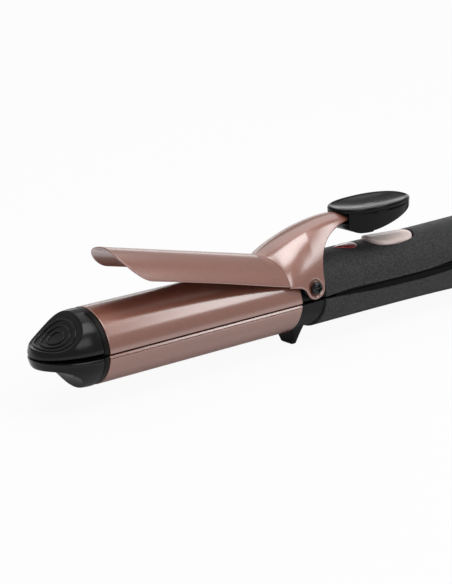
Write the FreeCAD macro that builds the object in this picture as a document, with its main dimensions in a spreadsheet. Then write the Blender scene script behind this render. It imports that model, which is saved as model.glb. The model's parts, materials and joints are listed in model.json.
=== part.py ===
"""Two-in-one hair styling iron: a split heated barrel on two hinged arms, with a sprung clip.

Frame: millimetres, +Z up, the nose towards -X and the handle towards +X.
The origin is the centre of the stand foot's flat underside.
"""
import FreeCAD, Part
import math
import os
import re

SIZES = {
    # Stance: the height of the seam plane over the table, and the foot that sets it.
    "axis_height": 21.0,
    "foot_length": 2.5,
    "foot_half_width": 3.5,
    "foot_root_half_width": 8.0,
    "foot_root_rear": 3.0,
    "foot_bury": 2.6,
    # Clearances.
    "overrun": 3.0,
    "fit_gap": 0.1,
    "running_gap": 0.3,
    "pin_gap": 0.04,
    # Barrel: two shells struck from centres past the seam plane.
    "barrel_setback": 5.75,
    "barrel_length": 94.5,
    "barrel_radius": 16.0,
    "barrel_wall": 1.5,
    "seam_offset": 1.03,
    "seam_gap": 1.0,
    "plate_thickness": 1.7,
    "flange_thickness": 0.9,
    "plate_groove": 0.2,
    "heater_inset": 9.0,
    "heater_rear_inset": 11.5,
    "heater_width": 11.0,
    "heater_thickness": 3.0,
    "spreader_setback": 4.0,
    "spreader_base_width": 14.0,
    "spreader_base": 1.5,
    "spreader_web": 2.4,
    "spreader_cap": 1.6,
    "spreader_cap_width": 17.0,
    "fuse_radius": 1.8,
    "fuse_length": 10.0,
    "fuse_setback": 30.0,
    "lead_radius": 0.7,
    "lead_spread": 3.0,
    "lead_height": 5.1,
    # Nose.
    "ring_width": 2.4,
    "ring_step": 0.15,
    "ring_wall": 4.2,
    "spigot_length": 5.0,
    "nose_length": 21.4,
    "nose_wall": 2.6,
    "nose_gap": 0.2,
    "ridge_setback": 12.4,
    "ridge_half_length": 8.2,
    "ridge_half_width": 11.4,
    "ridge_margin": 1.2,
    "ridge_pitch": 2.3,
    "ridge_groove": 1.1,
    "ridge_depth": 0.5,
    "ridge_low": 1.9,
    "dish_setback": 18.35,
    "dish_rise": 2.0,
    "dish_radius": 14.5,
    # Collar and clip pivot.
    "collar_length": 12.75,
    "collar_step": 0.8,
    "tenon_length": 6.0,
    "tenon_wall": 1.5,
    "pivot_setback": 0.35,
    "pivot_rise": 5.9,
    "boss_radius": 2.7,
    "spring_pocket_radius": 4.6,
    "spring_pocket_depth": 4.6,
    "clip_wire": 0.9,
    "clip_coil_pitch": 1.5,
    "clip_coil_turns": 2.0,
    "pivot_shank": 1.5,
    "pivot_bite": 1.4,
    "pivot_head_radius": 2.6,
    "pivot_head": 2.0,
    "drive_width": 0.7,
    "drive_length": 3.0,
    "drive_depth": 0.9,
    # Clip, drawn closed on the barrel and then turned open about its pivot.
    "clip_open_angle": 12.5,
    "blade_sheet": 0.9,
    "blade_lead": 5.3,
    "blade_edge_rise": 5.6,
    "blade_tip_half_width": 5.0,
    "blade_corner": 14.0,
    "blade_edge_inset": 0.5,
    "seam_setback": 14.8,
    "seam_sweep": 8.0,
    "seam_lap": 6.0,
    "ear_plate": 1.6,
    "ear_radius": 4.77,
    "ear_recess_radius": 3.9,
    "ear_web": 0.7,
    "ear_fillet": 5.0,
    "lever_sheet": 2.2,
    "lever_setback": 15.1,
    "lever_length": 42.1,
    "lever_lap": 0.4,
    "lever_climb": 18.5,
    "neck_half_width": 6.2,
    "neck_power": 16.0,
    "neck_share": 0.5,
    "blend_power": 0.8,
    "climb_power": 1.45,
    "arch_power": 0.5,
    "arch_flare": 0.7,
    "tongue_half_width": 5.4,
    "tongue_thickness": 2.8,
    "tongue_lap": 9.0,
    "pad_overhang": 17.6,
    "pad_lift": 6.4,
    "pad_pitch": 13.5,
    "pad_half_length": 20.0,
    "pad_half_width": 11.8,
    "pad_lid": 1.9,
    "pad_inset": 0.6,
    "pad_depth": 11.3,
    "pad_keel_radius": 35.5,
    "pad_keel_lead": 2.0,
    "dish_margin": 1.8,
    "dish_depth": 1.5,
    "slot_gap": 0.6,
    "slot_depth": 6.2,
    "pad_screw_lead": 13.0,
    "pad_screw_head": 2.3,
    "pad_screw_head_height": 1.5,
    "pad_screw_shank": 1.2,
    "pad_screw_sink": 0.3,
    # Handle: half sections that swell towards the rear.
    "joint_gap": 0.15,
    "handle_length": 151.0,
    "handle_front_half_width": 15.7,
    "handle_rear_half_width": 16.0,
    "handle_front_crown": 14.8,
    "handle_rear_crown": 17.2,
    "handle_front_belly": 15.1,
    "crown_power": 2.4,
    "belly_power": 3.3,
    "handle_wall": 2.2,
    "rear_wall": 4.0,
    "rear_round": 6.0,
    "housing_length": 21.5,
    "housing_gap": 0.8,
    "arm_open_angle": 10.0,
    "band_inset": 0.9,
    "band_front": 1.2,
    "band_upper_middle": 0.9,
    "band_upper_rear": 3.0,
    "band_lower_middle": 2.8,
    "band_lower_rear": 1.2,
    "liner_gap": 0.3,
    "tray_floor": 2.45,
    "tray_height": 3.7,
    "tray_wall": 2.0,
    # Hinge and arm spring.
    "hinge_setback": 14.0,
    "hinge_rise": 6.0,
    "pin_radius": 2.0,
    "pin_half_length": 13.4,
    "knuckle_radius": 5.0,
    "knuckle_half_width": 7.0,
    "tongue_root": 24.0,
    "spring_lead": 25.0,
    "spring_radius": 3.4,
    "spring_wire": 0.9,
    "spring_turns": 6.0,
    "spring_well": 9.0,
    "spring_well_wall": 1.3,
    "spring_top": 1.6,
    # Fasteners of the liners.
    "screw_setback": 49.0,
    "screw_spread": 8.2,
    "screw_head_radius": 2.4,
    "screw_head": 1.3,
    "screw_shank": 1.2,
    "screw_length": 9.0,
    "post_radius": 2.6,
    # Controls.
    "board_lead": 8.5,
    "board_rear_gap": 5.5,
    "board_width": 20.0,
    "board_thickness": 1.6,
    "board_rise": 4.4,
    "board_post_radius": 1.6,
    "board_post_inset": 4.0,
    "lens_lead": 18.0,
    "lens_length": 12.2,
    "lens_radius": 4.2,
    "lens_proud": 0.5,
    "lens_gap": 0.08,
    "led_radius": 1.5,
    "led_top": 11.6,
    "rocker_spacing": 6.8,
    "rocker_length": 24.8,
    "rocker_width": 14.4,
    "rocker_top": 15.8,
    "rocker_depth": 4.4,
    "rocker_wall": 1.7,
    "rocker_rise": 11.6,
    "rocker_rest_angle": 3.0,
    "rocker_gap": 0.9,
    "rocker_web": 4.2,
    "rocker_web_length": 4.6,
    "rocker_web_drop": 1.7,
    "rocker_pin_radius": 1.0,
    "rocker_lug": 1.4,
    "rocker_lug_length": 3.4,
    "rocker_lug_rise": 1.5,
    "switch_length": 14.0,
    "switch_width": 9.0,
    "switch_height": 3.4,
    # Rear end: terminal block, closing lock and cord outlet.
    "terminal_setback": 69.0,
    "terminal_length": 14.0,
    "terminal_width": 11.0,
    "terminal_height": 6.5,
    "lock_lead": 8.4,
    "lock_length": 9.0,
    "lock_width": 9.0,
    "lock_height": 1.8,
    "lock_stem_length": 5.0,
    "lock_stem_width": 4.0,
    "lock_plate": 1.4,
    "lock_travel": 4.0,
    "swivel_radius": 4.4,
    "swivel_bore": 3.1,
    "swivel_flange": 6.2,
    "swivel_flange_length": 1.6,
    "swivel_bell": 5.6,
    "swivel_bell_length": 7.0,
}

UPPER = 1
LOWER = -1
SIDE_NAMES = {UPPER: "upper", LOWER: "lower"}

# Stations of the handle and of the lever, as shares of their lengths.
HANDLE_STATION_SHARES = (0.0, 0.25, 0.5, 0.7, 0.85, 1.0)
BAND_STATION_SHARES = (0.0, 0.42, 1.0)
LEVER_STATION_SHARES = (0.0, 0.12, 0.28, 0.5, 0.75, 1.0)
LEVER_HEIGHT_SHARES = (0.0, 0.2, 0.4, 0.55, 0.68, 0.79, 0.88, 0.94, 0.98, 0.996)
# The lever's rear edge over the pivot: shares of the lever's reach and height behind it.
REAR_EDGE_SHARES = ((0.215, 0.27), (0.31, 0.53), (0.52, 0.735), (0.84, 0.895), (1.15, 0.985))

doc = FreeCAD.newDocument("styling_iron")
dims = doc.addObject("Spreadsheet::Sheet", "dims")
for row, (alias, number) in enumerate(SIZES.items(), start=1):
    dims.set(f"A{row}", alias)
    dims.set(f"B{row}", str(number))
    dims.setAlias(f"B{row}", alias)
doc.recompute()

nodes = []


def size(alias):
    """The number that the sheet holds under an alias."""
    return float(dims.get(alias))


def formula(text):
    """An expression in which every alias is read from the sheet."""
    return re.sub(r"[a-z_]+", lambda found: f"dims.{found[0]}" if found[0] in SIZES else found[0], text)


def bind(obj, **terms):
    """Bind properties of an object to expressions of the sheet's aliases."""
    for name, text in terms.items():
        obj.setExpression(name, formula(text))
    return obj


def place(obj, x, y, z):
    """Bind the base point of an object's placement."""
    for axis, text in zip("xyz", (x, y, z)):
        obj.setExpression(f"Placement.Base.{axis}", formula(text))
    return obj


def box(x, y, z, length, width, height):
    """A box from its least corner."""
    solid = bind(doc.addObject("Part::Box"), Length=length, Width=width, Height=height)
    return place(solid, x, y, z)


def block(x, length, half_width, z, height):
    """A box that straddles the middle plane."""
    return box(x, f"-({half_width})", z, length, f"2 * ({half_width})", height)


TURNS = {
    "x": FreeCAD.Rotation(FreeCAD.Vector(0, 1, 0), 90),
    "y": FreeCAD.Rotation(FreeCAD.Vector(1, 0, 0), -90),
    "z": FreeCAD.Rotation(),
}


def rod(axis, x, y, z, radius, length):
    """A cylinder that runs along an axis from its start point."""
    solid = bind(doc.addObject("Part::Cylinder"), Radius=radius, Height=length)
    solid.Placement = FreeCAD.Placement(FreeCAD.Vector(), TURNS[axis])
    return place(solid, x, y, z)


def cross_rod(x, z, radius, half_length):
    """A cylinder across the middle plane."""
    return rod("y", x, f"-({half_length})", z, radius, f"2 * ({half_length})")


def ellipsoid(x, y, z, along, across, up):
    """An ellipsoid from its centre and its three half axes."""
    solid = bind(doc.addObject("Part::Ellipsoid"), Radius1=up, Radius2=along, Radius3=across)
    return place(solid, x, y, z)


def join(*solids):
    """The union of several objects."""
    union = doc.addObject("Part::MultiFuse")
    union.Shapes = list(solids)
    return union


def cut(base, *tools):
    """An object with others taken away."""
    rest = doc.addObject("Part::Cut")
    rest.Base = base
    rest.Tool = tools[0] if len(tools) == 1 else join(*tools)
    return rest


def meet(first, second):
    """What two objects share."""
    both = doc.addObject("Part::Common")
    both.Base = first
    both.Tool = second
    return both


def solid_of(shape):
    """A document object around a computed shape."""
    feature = doc.addObject("Part::Feature")
    feature.Shape = shape
    return feature


def node(label, obj):
    """Name a finished sub-part."""
    obj.Label = label
    nodes.append(obj)
    return obj


def turned(obj, angle, x, z):
    """Turn an object about a cross axis through a point of the middle plane."""
    turn = FreeCAD.Rotation(FreeCAD.Vector(0, 1, 0), angle)
    about = FreeCAD.Placement(FreeCAD.Vector(), turn, FreeCAD.Vector(x, 0, z))
    obj.Placement = about.multiply(obj.Placement)
    return obj


# Places along the iron.
BARREL_REAR = "-barrel_setback"
BARREL_FRONT = "(-barrel_setback - barrel_length)"
RING_FRONT = "(-barrel_setback - barrel_length - ring_width)"
COLLAR_REAR = "(collar_length - barrel_setback)"
HANDLE_FRONT = "(collar_length - barrel_setback + joint_gap)"
HANDLE_REAR = "(collar_length - barrel_setback + joint_gap + handle_length)"
HOUSING_FRONT = "(collar_length - barrel_setback + joint_gap + handle_length - housing_length)"
HINGE_X = "(collar_length - barrel_setback + joint_gap + handle_length - hinge_setback)"
HINGE_Z = "(axis_height + hinge_rise)"
PIVOT_Z = "(axis_height + pivot_rise)"
ROCKER_X = (
    "(collar_length - barrel_setback + joint_gap + lens_lead + lens_length"
    " + rocker_spacing + rocker_length / 2)"
)
ROCKER_Z = "(axis_height + rocker_rise)"
HEATER_X = "(heater_inset - barrel_setback - barrel_length)"
BOARD_X = "(collar_length - barrel_setback + joint_gap + board_lead)"
BOARD_LENGTH = "(handle_length - hinge_setback - screw_setback - board_lead - board_rear_gap)"
TERMINAL_X = f"({HINGE_X} - terminal_setback)"
HEATER_LENGTH = "(barrel_length - heater_inset - heater_rear_inset)"
SPREADER_LENGTH = f"({HEATER_LENGTH} - spreader_setback)"

HALF_GAP = "seam_gap / 2"
PLATE_FACE = {UPPER: "seam_gap / 2", LOWER: "(seam_gap / 2 + flange_thickness)"}
SHELL_EDGE = {UPPER: "seam_gap / 2", LOWER: "(seam_gap / 2 + flange_thickness + plate_groove)"}
PLATE_BACK = {side: f"({face} + plate_thickness)" for side, face in PLATE_FACE.items()}
HEATER_BACK = {side: f"({back} + heater_thickness)" for side, back in PLATE_BACK.items()}
BORE_RADIUS = "(barrel_radius - barrel_wall)"
BEYOND = "2 * barrel_radius"
COLLAR_RADIUS = "(barrel_radius - collar_step)"
TENON_RADIUS = "(handle_front_half_width - handle_wall - 2 * fit_gap)"
COLLAR_BORE = f"({TENON_RADIUS} - tenon_wall)"
POCKET_FLOOR = "(barrel_radius - spring_pocket_depth)"
PIVOT_ROOT = f"({COLLAR_BORE} - pivot_bite)"
EAR_INNER = "(barrel_radius + running_gap)"

barrel_front = -size("barrel_setback") - size("barrel_length")
handle_front = size("collar_length") - size("barrel_setback") + size("joint_gap")
handle_rear = handle_front + size("handle_length")
housing_front = handle_rear - size("housing_length")
hinge_x = handle_rear - size("hinge_setback")
seam_z = size("axis_height")
pivot_x = size("pivot_setback")
pivot_z = seam_z + size("pivot_rise")
pocket_floor = size("barrel_radius") - size("spring_pocket_depth")
ear_inner = size("barrel_radius") + size("running_gap")
ear_half_width = ear_inner + size("ear_plate")
blade_half_width = size("barrel_radius") - size("blade_edge_inset")
seam_apex = -size("barrel_setback") - size("seam_setback")
seam_slope = size("seam_sweep") / blade_half_width
lever_front = -size("barrel_setback") - size("lever_setback")
lever_reach = lever_front + size("lever_length") - pivot_x
lever_low = size("barrel_radius") + size("lever_lap")
lever_high = lever_low + size("lever_climb")
screw_x = hinge_x - size("screw_setback")


def level(side, near, far):
    """The base height of a slab between two distances from the seam plane."""
    return f"axis_height + {near}" if side == UPPER else f"axis_height - ({far})"


def slab(side, x, length, half_width, near, far):
    """A straddling block between two distances from the seam plane."""
    return block(x, length, half_width, level(side, near, far), f"({far}) - ({near})")


def bar(side, x, length, radius):
    """A round bar struck from the centre that a half of the barrel is struck from."""
    sign = "-" if side == UPPER else "+"
    return rod("x", x, "0", f"axis_height {sign} seam_offset", radius, length)


def half_tube(side, x, length, outer, inner, near):
    """Half a tube whose edges stop short of the seam plane."""
    bore = bar(side, f"{x} - overrun", f"{length} + 2 * overrun", inner)
    return meet(cut(bar(side, x, length, outer), bore), slab(side, x, length, BEYOND, near, BEYOND))


# Barrel.
def barrel_shell(side):
    """The curved half of the barrel."""
    return half_tube(side, BARREL_FRONT, "barrel_length", "barrel_radius", BORE_RADIUS, SHELL_EDGE[side])


def straightening_plate(side):
    """The flat plate in the mouth of a shell; the lower one shows its flange as a bright lip."""
    half_width = f"(sqrt({BORE_RADIUS}^2 - ({PLATE_BACK[side]} + seam_offset)^2) - fit_gap)"
    plate = slab(side, BARREL_FRONT, "barrel_length", half_width, PLATE_FACE[side], PLATE_BACK[side])
    if side == UPPER:
        return plate
    lip = slab(side, BARREL_FRONT, "barrel_length", BEYOND, HALF_GAP, PLATE_FACE[side])
    return join(plate, meet(bar(side, BARREL_FRONT, "barrel_length", "barrel_radius"), lip))


def heater(side):
    """The ceramic heating strip on the back of a plate."""
    return slab(side, HEATER_X, HEATER_LENGTH, "heater_width / 2", PLATE_BACK[side], HEATER_BACK[side])


def heat_spreader(side):
    """The extruded bridge that carries heat from the strip to the curved shell."""
    back = HEATER_BACK[side]
    roof = f"({BORE_RADIUS} - fit_gap)"
    base = slab(side, HEATER_X, SPREADER_LENGTH, "spreader_base_width / 2", back,
                f"{back} + spreader_base")
    web = slab(side, HEATER_X, SPREADER_LENGTH, "spreader_web / 2", back,
               f"{roof} - seam_offset - spreader_cap / 2")
    hollow = bar(side, f"{HEATER_X} - overrun", f"{SPREADER_LENGTH} + 2 * overrun", f"{roof} - spreader_cap")
    ring = cut(bar(side, HEATER_X, SPREADER_LENGTH, roof), hollow)
    cap = meet(ring, slab(side, HEATER_X, SPREADER_LENGTH, "spreader_cap_width / 2",
                          f"{back} + spreader_base", BEYOND))
    return join(base, web, cap)


def leads(side, end):
    """The pair of supply leads from the strip's rear end."""
    start = f"({HEATER_X} + {HEATER_LENGTH})"
    height = level(side, "lead_height", "lead_height")
    length = f"{end} - {start}"
    return join(*[rod("x", start, f"{sign} lead_spread", height, "lead_radius", length) for sign in "+-"])


def thermal_fuse():
    """The overheating fuse that lies on the upper spreader beside its web."""
    y = "spreader_web / 2 + fuse_radius + fit_gap"
    z = f"axis_height + {HEATER_BACK[UPPER]} + spreader_base + fuse_radius"
    return rod("x", f"{HEATER_X} + fuse_setback", y, z, "fuse_radius", "fuse_length")


# Nose.
def nose_ring(side):
    """The dark ring at the barrel's mouth, with a spigot inside the shell."""
    inner = "barrel_radius - ring_wall"
    ring = half_tube(side, RING_FRONT, "ring_width", "barrel_radius - ring_step", inner, HALF_GAP)
    spigot = half_tube(side, RING_FRONT, "ring_width + spigot_length", f"{BORE_RADIUS} - fit_gap", inner,
                       f"{PLATE_BACK[side]} + fit_gap")
    return join(ring, spigot)


def nose_dome(side, shrink):
    """An ellipsoid that ends the barrel, drawn in by a wall."""
    sign = "-" if side == UPPER else "+"
    return ellipsoid(f"{RING_FRONT} - nose_gap", "0", f"axis_height {sign} seam_offset",
                     f"nose_length - {shrink}", f"barrel_radius - {shrink}", f"barrel_radius - {shrink}")


def finger_dish(side, growth):
    """The cross rod that dishes half of the nose for a finger, let out by a growth."""
    sign = "+" if side == UPPER else "-"
    return cross_rod(f"{RING_FRONT} - dish_setback", f"axis_height {sign} (barrel_radius + dish_rise)",
                     f"dish_radius + {growth}", BEYOND)


def grip_groove(order):
    """One of the oval grooves between the grip ridges: a slit tube that dips under the dish."""
    rim = f"ridge_margin + {order} * ridge_pitch"
    tubes = []
    for inset in (f"({rim})", f"({rim} + ridge_groove)"):
        oval = bind(doc.addObject("Part::Ellipse"), MajorRadius=f"ridge_half_width - {inset}",
                    MinorRadius=f"ridge_half_length - {inset}")
        oval.Placement = FreeCAD.Placement(FreeCAD.Vector(), FreeCAD.Rotation(FreeCAD.Vector(0, 0, 1), 90))
        place(oval, f"{RING_FRONT} - ridge_setback", "0", "axis_height + ridge_low")
        tube = bind(doc.addObject("Part::Extrusion"), LengthFwd=BEYOND)
        tube.Base = oval
        tube.DirMode = "Custom"
        tube.Dir = FreeCAD.Vector(0, 0, 1)
        tube.Solid = True
        tubes.append(tube)
    return meet(cut(*tubes), finger_dish(UPPER, "ridge_depth"))


def nose(side):
    """Half of the cool tip: a hollow dome dished for a finger, with grip ridges in the upper dish."""
    room = slab(side, f"{RING_FRONT} - nose_gap - nose_length - overrun", "nose_length + overrun", BEYOND,
                HALF_GAP, BEYOND)
    dome = cut(meet(nose_dome(side, "0"), room), finger_dish(side, "0"))
    hollow = cut(nose_dome(side, "nose_wall"), finger_dish(side, "nose_wall"))
    grooves = [grip_groove(order) for order in range(3)] if side == UPPER else []
    return cut(dome, hollow, *grooves)


# Collar, foot and clip pivot.
def collar_body(side):
    """The sleeve between barrel and handle, with a spigot forward and a tenon to the rear."""
    sleeve = half_tube(side, BARREL_REAR, "collar_length", COLLAR_RADIUS, COLLAR_BORE, HALF_GAP)
    spigot = half_tube(side, f"({BARREL_REAR} - spigot_length)", "collar_length + spigot_length",
                       f"{BORE_RADIUS} - fit_gap", COLLAR_BORE, f"{PLATE_BACK[side]} + fit_gap")
    tenon = half_tube(side, BARREL_REAR, "collar_length + tenon_length", TENON_RADIUS, COLLAR_BORE, HALF_GAP)
    return join(sleeve, spigot, tenon)


def pivot_rods(radius, inner, outer):
    """A rod on each side of the collar along the clip's pivot axis."""
    return [rod("y", "pivot_setback", start, PIVOT_Z, radius, f"{outer} - ({inner})")
            for start in (inner, f"-({outer})")]


def upper_collar():
    """The upper sleeve with the two bosses that the clip pivots on, each in a well for its spring."""
    wells = pivot_rods("spring_pocket_radius", POCKET_FLOOR, BEYOND)
    bosses = pivot_rods("boss_radius", f"{POCKET_FLOOR} - overrun / 2", "barrel_radius")
    bores = pivot_rods("pivot_shank + fit_gap / 2", PIVOT_ROOT, BEYOND)
    return cut(join(cut(collar_body(UPPER), *wells), *bosses), *bores)


def lower_collar():
    """The lower sleeve with the wedge foot that keeps the hot barrel off the table."""
    root = f"(axis_height + seam_offset - {COLLAR_RADIUS} + foot_bury)"
    foot = bind(doc.addObject("Part::Wedge"), Xmin=BARREL_REAR, Xmax="foot_root_rear",
                X2min="-foot_length / 2", X2max="foot_length / 2",
                Zmin="-foot_root_half_width", Zmax="foot_root_half_width",
                Z2min="-foot_half_width", Z2max="foot_half_width", Ymin="0", Ymax=root)
    foot.Placement = FreeCAD.Placement(FreeCAD.Vector(), FreeCAD.Rotation(FreeCAD.Vector(1, 0, 0), -90))
    place(foot, "0", "0", root)
    return join(collar_body(LOWER), foot)


def coil(radius, wire, pitch, turns):
    """A wound wire on a helix about Z from the origin."""
    spine = Part.makeHelix(pitch, pitch * turns, radius)
    start = spine.Edges[0].valueAt(spine.Edges[0].FirstParameter)
    ahead = spine.Edges[0].tangentAt(spine.Edges[0].FirstParameter)
    section = Part.Wire(Part.makeCircle(wire / 2, start, ahead))
    return Part.Wire(spine.Edges).makePipeShell([section], True, True)


def clip_springs():
    """A torsion coil round each pivot boss."""
    radius = (size("boss_radius") + size("spring_pocket_radius")) / 2
    wire = size("clip_wire")
    length = size("clip_coil_pitch") * size("clip_coil_turns")
    coils = []
    for sign in (1, -1):
        wound = coil(radius, wire, size("clip_coil_pitch"), size("clip_coil_turns"))
        start = pocket_floor + size("fit_gap") + wire / 2
        base = start if sign > 0 else -start - length
        wound.Placement = FreeCAD.Placement(FreeCAD.Vector(pivot_x, base, pivot_z), TURNS["y"])
        coils.append(wound)
    return solid_of(Part.makeCompound(coils))


def cross_drive(x, y, z, depth):
    """The crossed slots of a screw head that faces sideways."""
    slots = []
    for length, height in (("drive_length", "drive_width"), ("drive_width", "drive_length")):
        slots.append(box(f"{x} - {length} / 2", y, f"{z} - {height} / 2", length, depth, height))
    return join(*slots)


def pivot_screws():
    """The two shoulder screws that the clip's ears turn on."""
    seat = f"({EAR_INNER} + ear_web + running_gap)"
    top = f"({seat} + pivot_head)"
    screws = []
    for sign in (1, -1):
        shank_y = PIVOT_ROOT if sign > 0 else f"-{seat} - fit_gap"
        head_y = seat if sign > 0 else f"-{top}"
        drive_y = f"{top} - drive_depth" if sign > 0 else f"-{top} - overrun"
        reach = f"{seat} - {PIVOT_ROOT} + fit_gap"
        shank = rod("y", "pivot_setback", shank_y, PIVOT_Z, "pivot_shank", reach)
        head = rod("y", "pivot_setback", head_y, PIVOT_Z, "pivot_head_radius", "pivot_head")
        slots = cross_drive("pivot_setback", drive_y, PIVOT_Z, "drive_depth + overrun")
        screws.append(cut(join(shank, head), slots))
    return join(*screws)


# Clip.
def polygon_prism(points, depth):
    """A prism over a closed run of points, pushed along a vector."""
    return Part.Face(Part.makePolygon(points + points[:1])).extrude(depth)


def upright_prism(outline, half_width):
    """A prism across the middle plane over (x, z) points."""
    points = [FreeCAD.Vector(x, -half_width, z) for x, z in outline]
    return polygon_prism(points, FreeCAD.Vector(0, 2 * half_width, 0))


def arc_to_ellipse(centre, along, across):
    """A quarter of an ellipse in plan from centre + along to centre + across."""
    corner = math.sqrt(0.5)
    unit = Part.Arc(FreeCAD.Vector(1, 0, 0), FreeCAD.Vector(corner, corner, 0), FreeCAD.Vector(0, 1, 0))
    stretch = FreeCAD.Matrix(along, 0, 0, centre[0], 0, across, 0, centre[1], 0, 0, 1, centre[2], 0, 0, 0, 1)
    return unit.toShape().transformGeometry(stretch)


def clip_blade():
    """The curved blade: a rolled sheet with a rounded tip and a swept rear seam under the lever."""
    inner = size("barrel_radius") + size("running_gap")
    outer = inner + size("blade_sheet")
    tip = barrel_front + size("blade_lead")
    shoulder = tip + size("blade_corner")
    corner_width = blade_half_width - size("blade_tip_half_width")
    rear = seam_apex + size("seam_lap")
    rear_side = rear + size("seam_sweep")
    floor = seam_z + size("blade_edge_rise")
    edges = []
    ends = {}
    for sign in (1, -1):
        centre = (shoulder, sign * size("blade_tip_half_width"), floor)
        edges.append(arc_to_ellipse(centre, -size("blade_corner"), sign * corner_width))
        ends[sign] = (FreeCAD.Vector(tip, centre[1], floor),
                      FreeCAD.Vector(shoulder, sign * blade_half_width, floor))
    edges.append(Part.makeLine(ends[1][0], ends[-1][0]))
    run = [ends[1][1], FreeCAD.Vector(rear_side, blade_half_width, floor), FreeCAD.Vector(rear, 0, floor),
           FreeCAD.Vector(rear_side, -blade_half_width, floor), ends[-1][1]]
    edges.extend(Part.makeLine(first, second) for first, second in zip(run, run[1:]))
    outline = Part.Wire(Part.__sortEdges__(edges))
    plan = Part.Face(outline).extrude(FreeCAD.Vector(0, 0, outer))
    axis = FreeCAD.Vector(tip - size("overrun"), 0, seam_z - size("seam_offset"))
    length = rear_side - tip + 2 * size("overrun")
    tube = Part.makeCylinder(outer, length, axis, FreeCAD.Vector(1, 0, 0)).cut(
        Part.makeCylinder(inner, length, axis, FreeCAD.Vector(1, 0, 0)))
    return solid_of(tube.common(plan))


def lever_blend(share):
    """How far the lever has turned from the blade's arch into the neck."""
    return min(1.0, share / size("neck_share")) ** size("blend_power")


def lever_crown(share):
    """The lever's height over the seam plane along its length."""
    return lever_low + size("lever_climb") * (1.0 - (1.0 - share) ** size("climb_power"))


def lever_half_width(share, height_share, draw_in):
    """Half the lever's width: a wide arch that gives way to a narrow neck as it climbs."""
    blend = lever_blend(share)
    neck = (size("neck_half_width") - draw_in) * blend
    arch = ear_half_width - draw_in - neck
    bulge = size("arch_power") + size("arch_flare") * blend
    return (arch * (1.0 - height_share ** 2) ** bulge
            + neck * math.sqrt(1.0 - height_share ** size("neck_power")))


def lever_solid(draw_in, lead, tail):
    """The lever's tent as a loft through arches across the iron."""
    wires = []
    for share in LEVER_STATION_SHARES:
        x = lever_front - lead + (size("lever_length") + lead + tail) * share
        crown = lever_crown(share) - draw_in
        half = [(lever_half_width(share, up, draw_in), seam_z + crown * up)
                for up in LEVER_HEIGHT_SHARES]
        points = [FreeCAD.Vector(x, y, z) for y, z in half]
        points.append(FreeCAD.Vector(x, 0, seam_z + crown))
        points.extend(FreeCAD.Vector(x, -y, z) for y, z in reversed(half))
        arch = Part.BSplineCurve()
        arch.interpolate(points)
        wires.append(Part.Wire([arch.toShape(), Part.makeLine(points[-1], points[0])]))
    return Part.makeLoft(wires, True, False)


def swing(x, z, radius, degrees):
    """A point of the middle plane at an angle about a centre."""
    turn = math.radians(degrees)
    return FreeCAD.Vector(x + radius * math.cos(turn), 0, z + radius * math.sin(turn))


def arc_about(x, z, radius, first, last):
    """An arc of the middle plane about a centre, between two angles in degrees."""
    middle = (first + last) / 2
    return Part.Arc(*[swing(x, z, radius, turn) for turn in (first, middle, last)]).toShape()


def lever_trim():
    """What the lever's side outline leaves away: under the blade, round the ears and behind the rear edge."""
    radius = size("ear_radius")
    fillet = size("ear_fillet")
    edge_z = seam_z + size("blade_edge_rise")
    low = seam_z - 2 * size("barrel_radius")
    drop = pivot_z - (edge_z - fillet)
    reach = math.sqrt((fillet + radius) ** 2 - drop ** 2)
    lean = math.degrees(math.asin(drop / (fillet + radius)))
    bend = FreeCAD.Vector(pivot_x - reach, 0, edge_z)
    rise = lever_high - size("pivot_rise")
    rear = [FreeCAD.Vector(pivot_x + lever_reach * along, 0, pivot_z + rise * up)
            for along, up in REAR_EDGE_SHARES]
    rear.insert(0, swing(pivot_x, pivot_z, radius, 0))
    curve = Part.BSplineCurve()
    curve.interpolate(rear)
    end = pivot_x + size("lever_length")
    corners = [rear[-1], FreeCAD.Vector(end, 0, rear[-1].z), FreeCAD.Vector(end, 0, low),
               FreeCAD.Vector(barrel_front, 0, low), FreeCAD.Vector(barrel_front, 0, edge_z), bend]
    edges = [Part.makeLine(first, second) for first, second in zip(corners, corners[1:])]
    edges.append(arc_about(bend.x, edge_z - fillet, fillet, 90, lean))
    edges.append(arc_about(pivot_x, pivot_z, radius, 180 + lean, 360))
    edges.append(curve.toShape())
    half_width = ear_half_width + size("overrun")
    face = Part.Face(Part.Wire(Part.__sortEdges__(edges)))
    face.translate(FreeCAD.Vector(0, -half_width, 0))
    return face.extrude(FreeCAD.Vector(0, 2 * half_width, 0))


def pad_placement():
    """The thumb pad's own frame: its rim plane, tilted up to the rear."""
    turn = FreeCAD.Rotation(FreeCAD.Vector(0, 1, 0), -size("pad_pitch"))
    x = pivot_x + lever_reach + size("pad_overhang")
    return FreeCAD.Placement(FreeCAD.Vector(x, 0, seam_z + lever_high + size("pad_lift")), turn)


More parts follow.
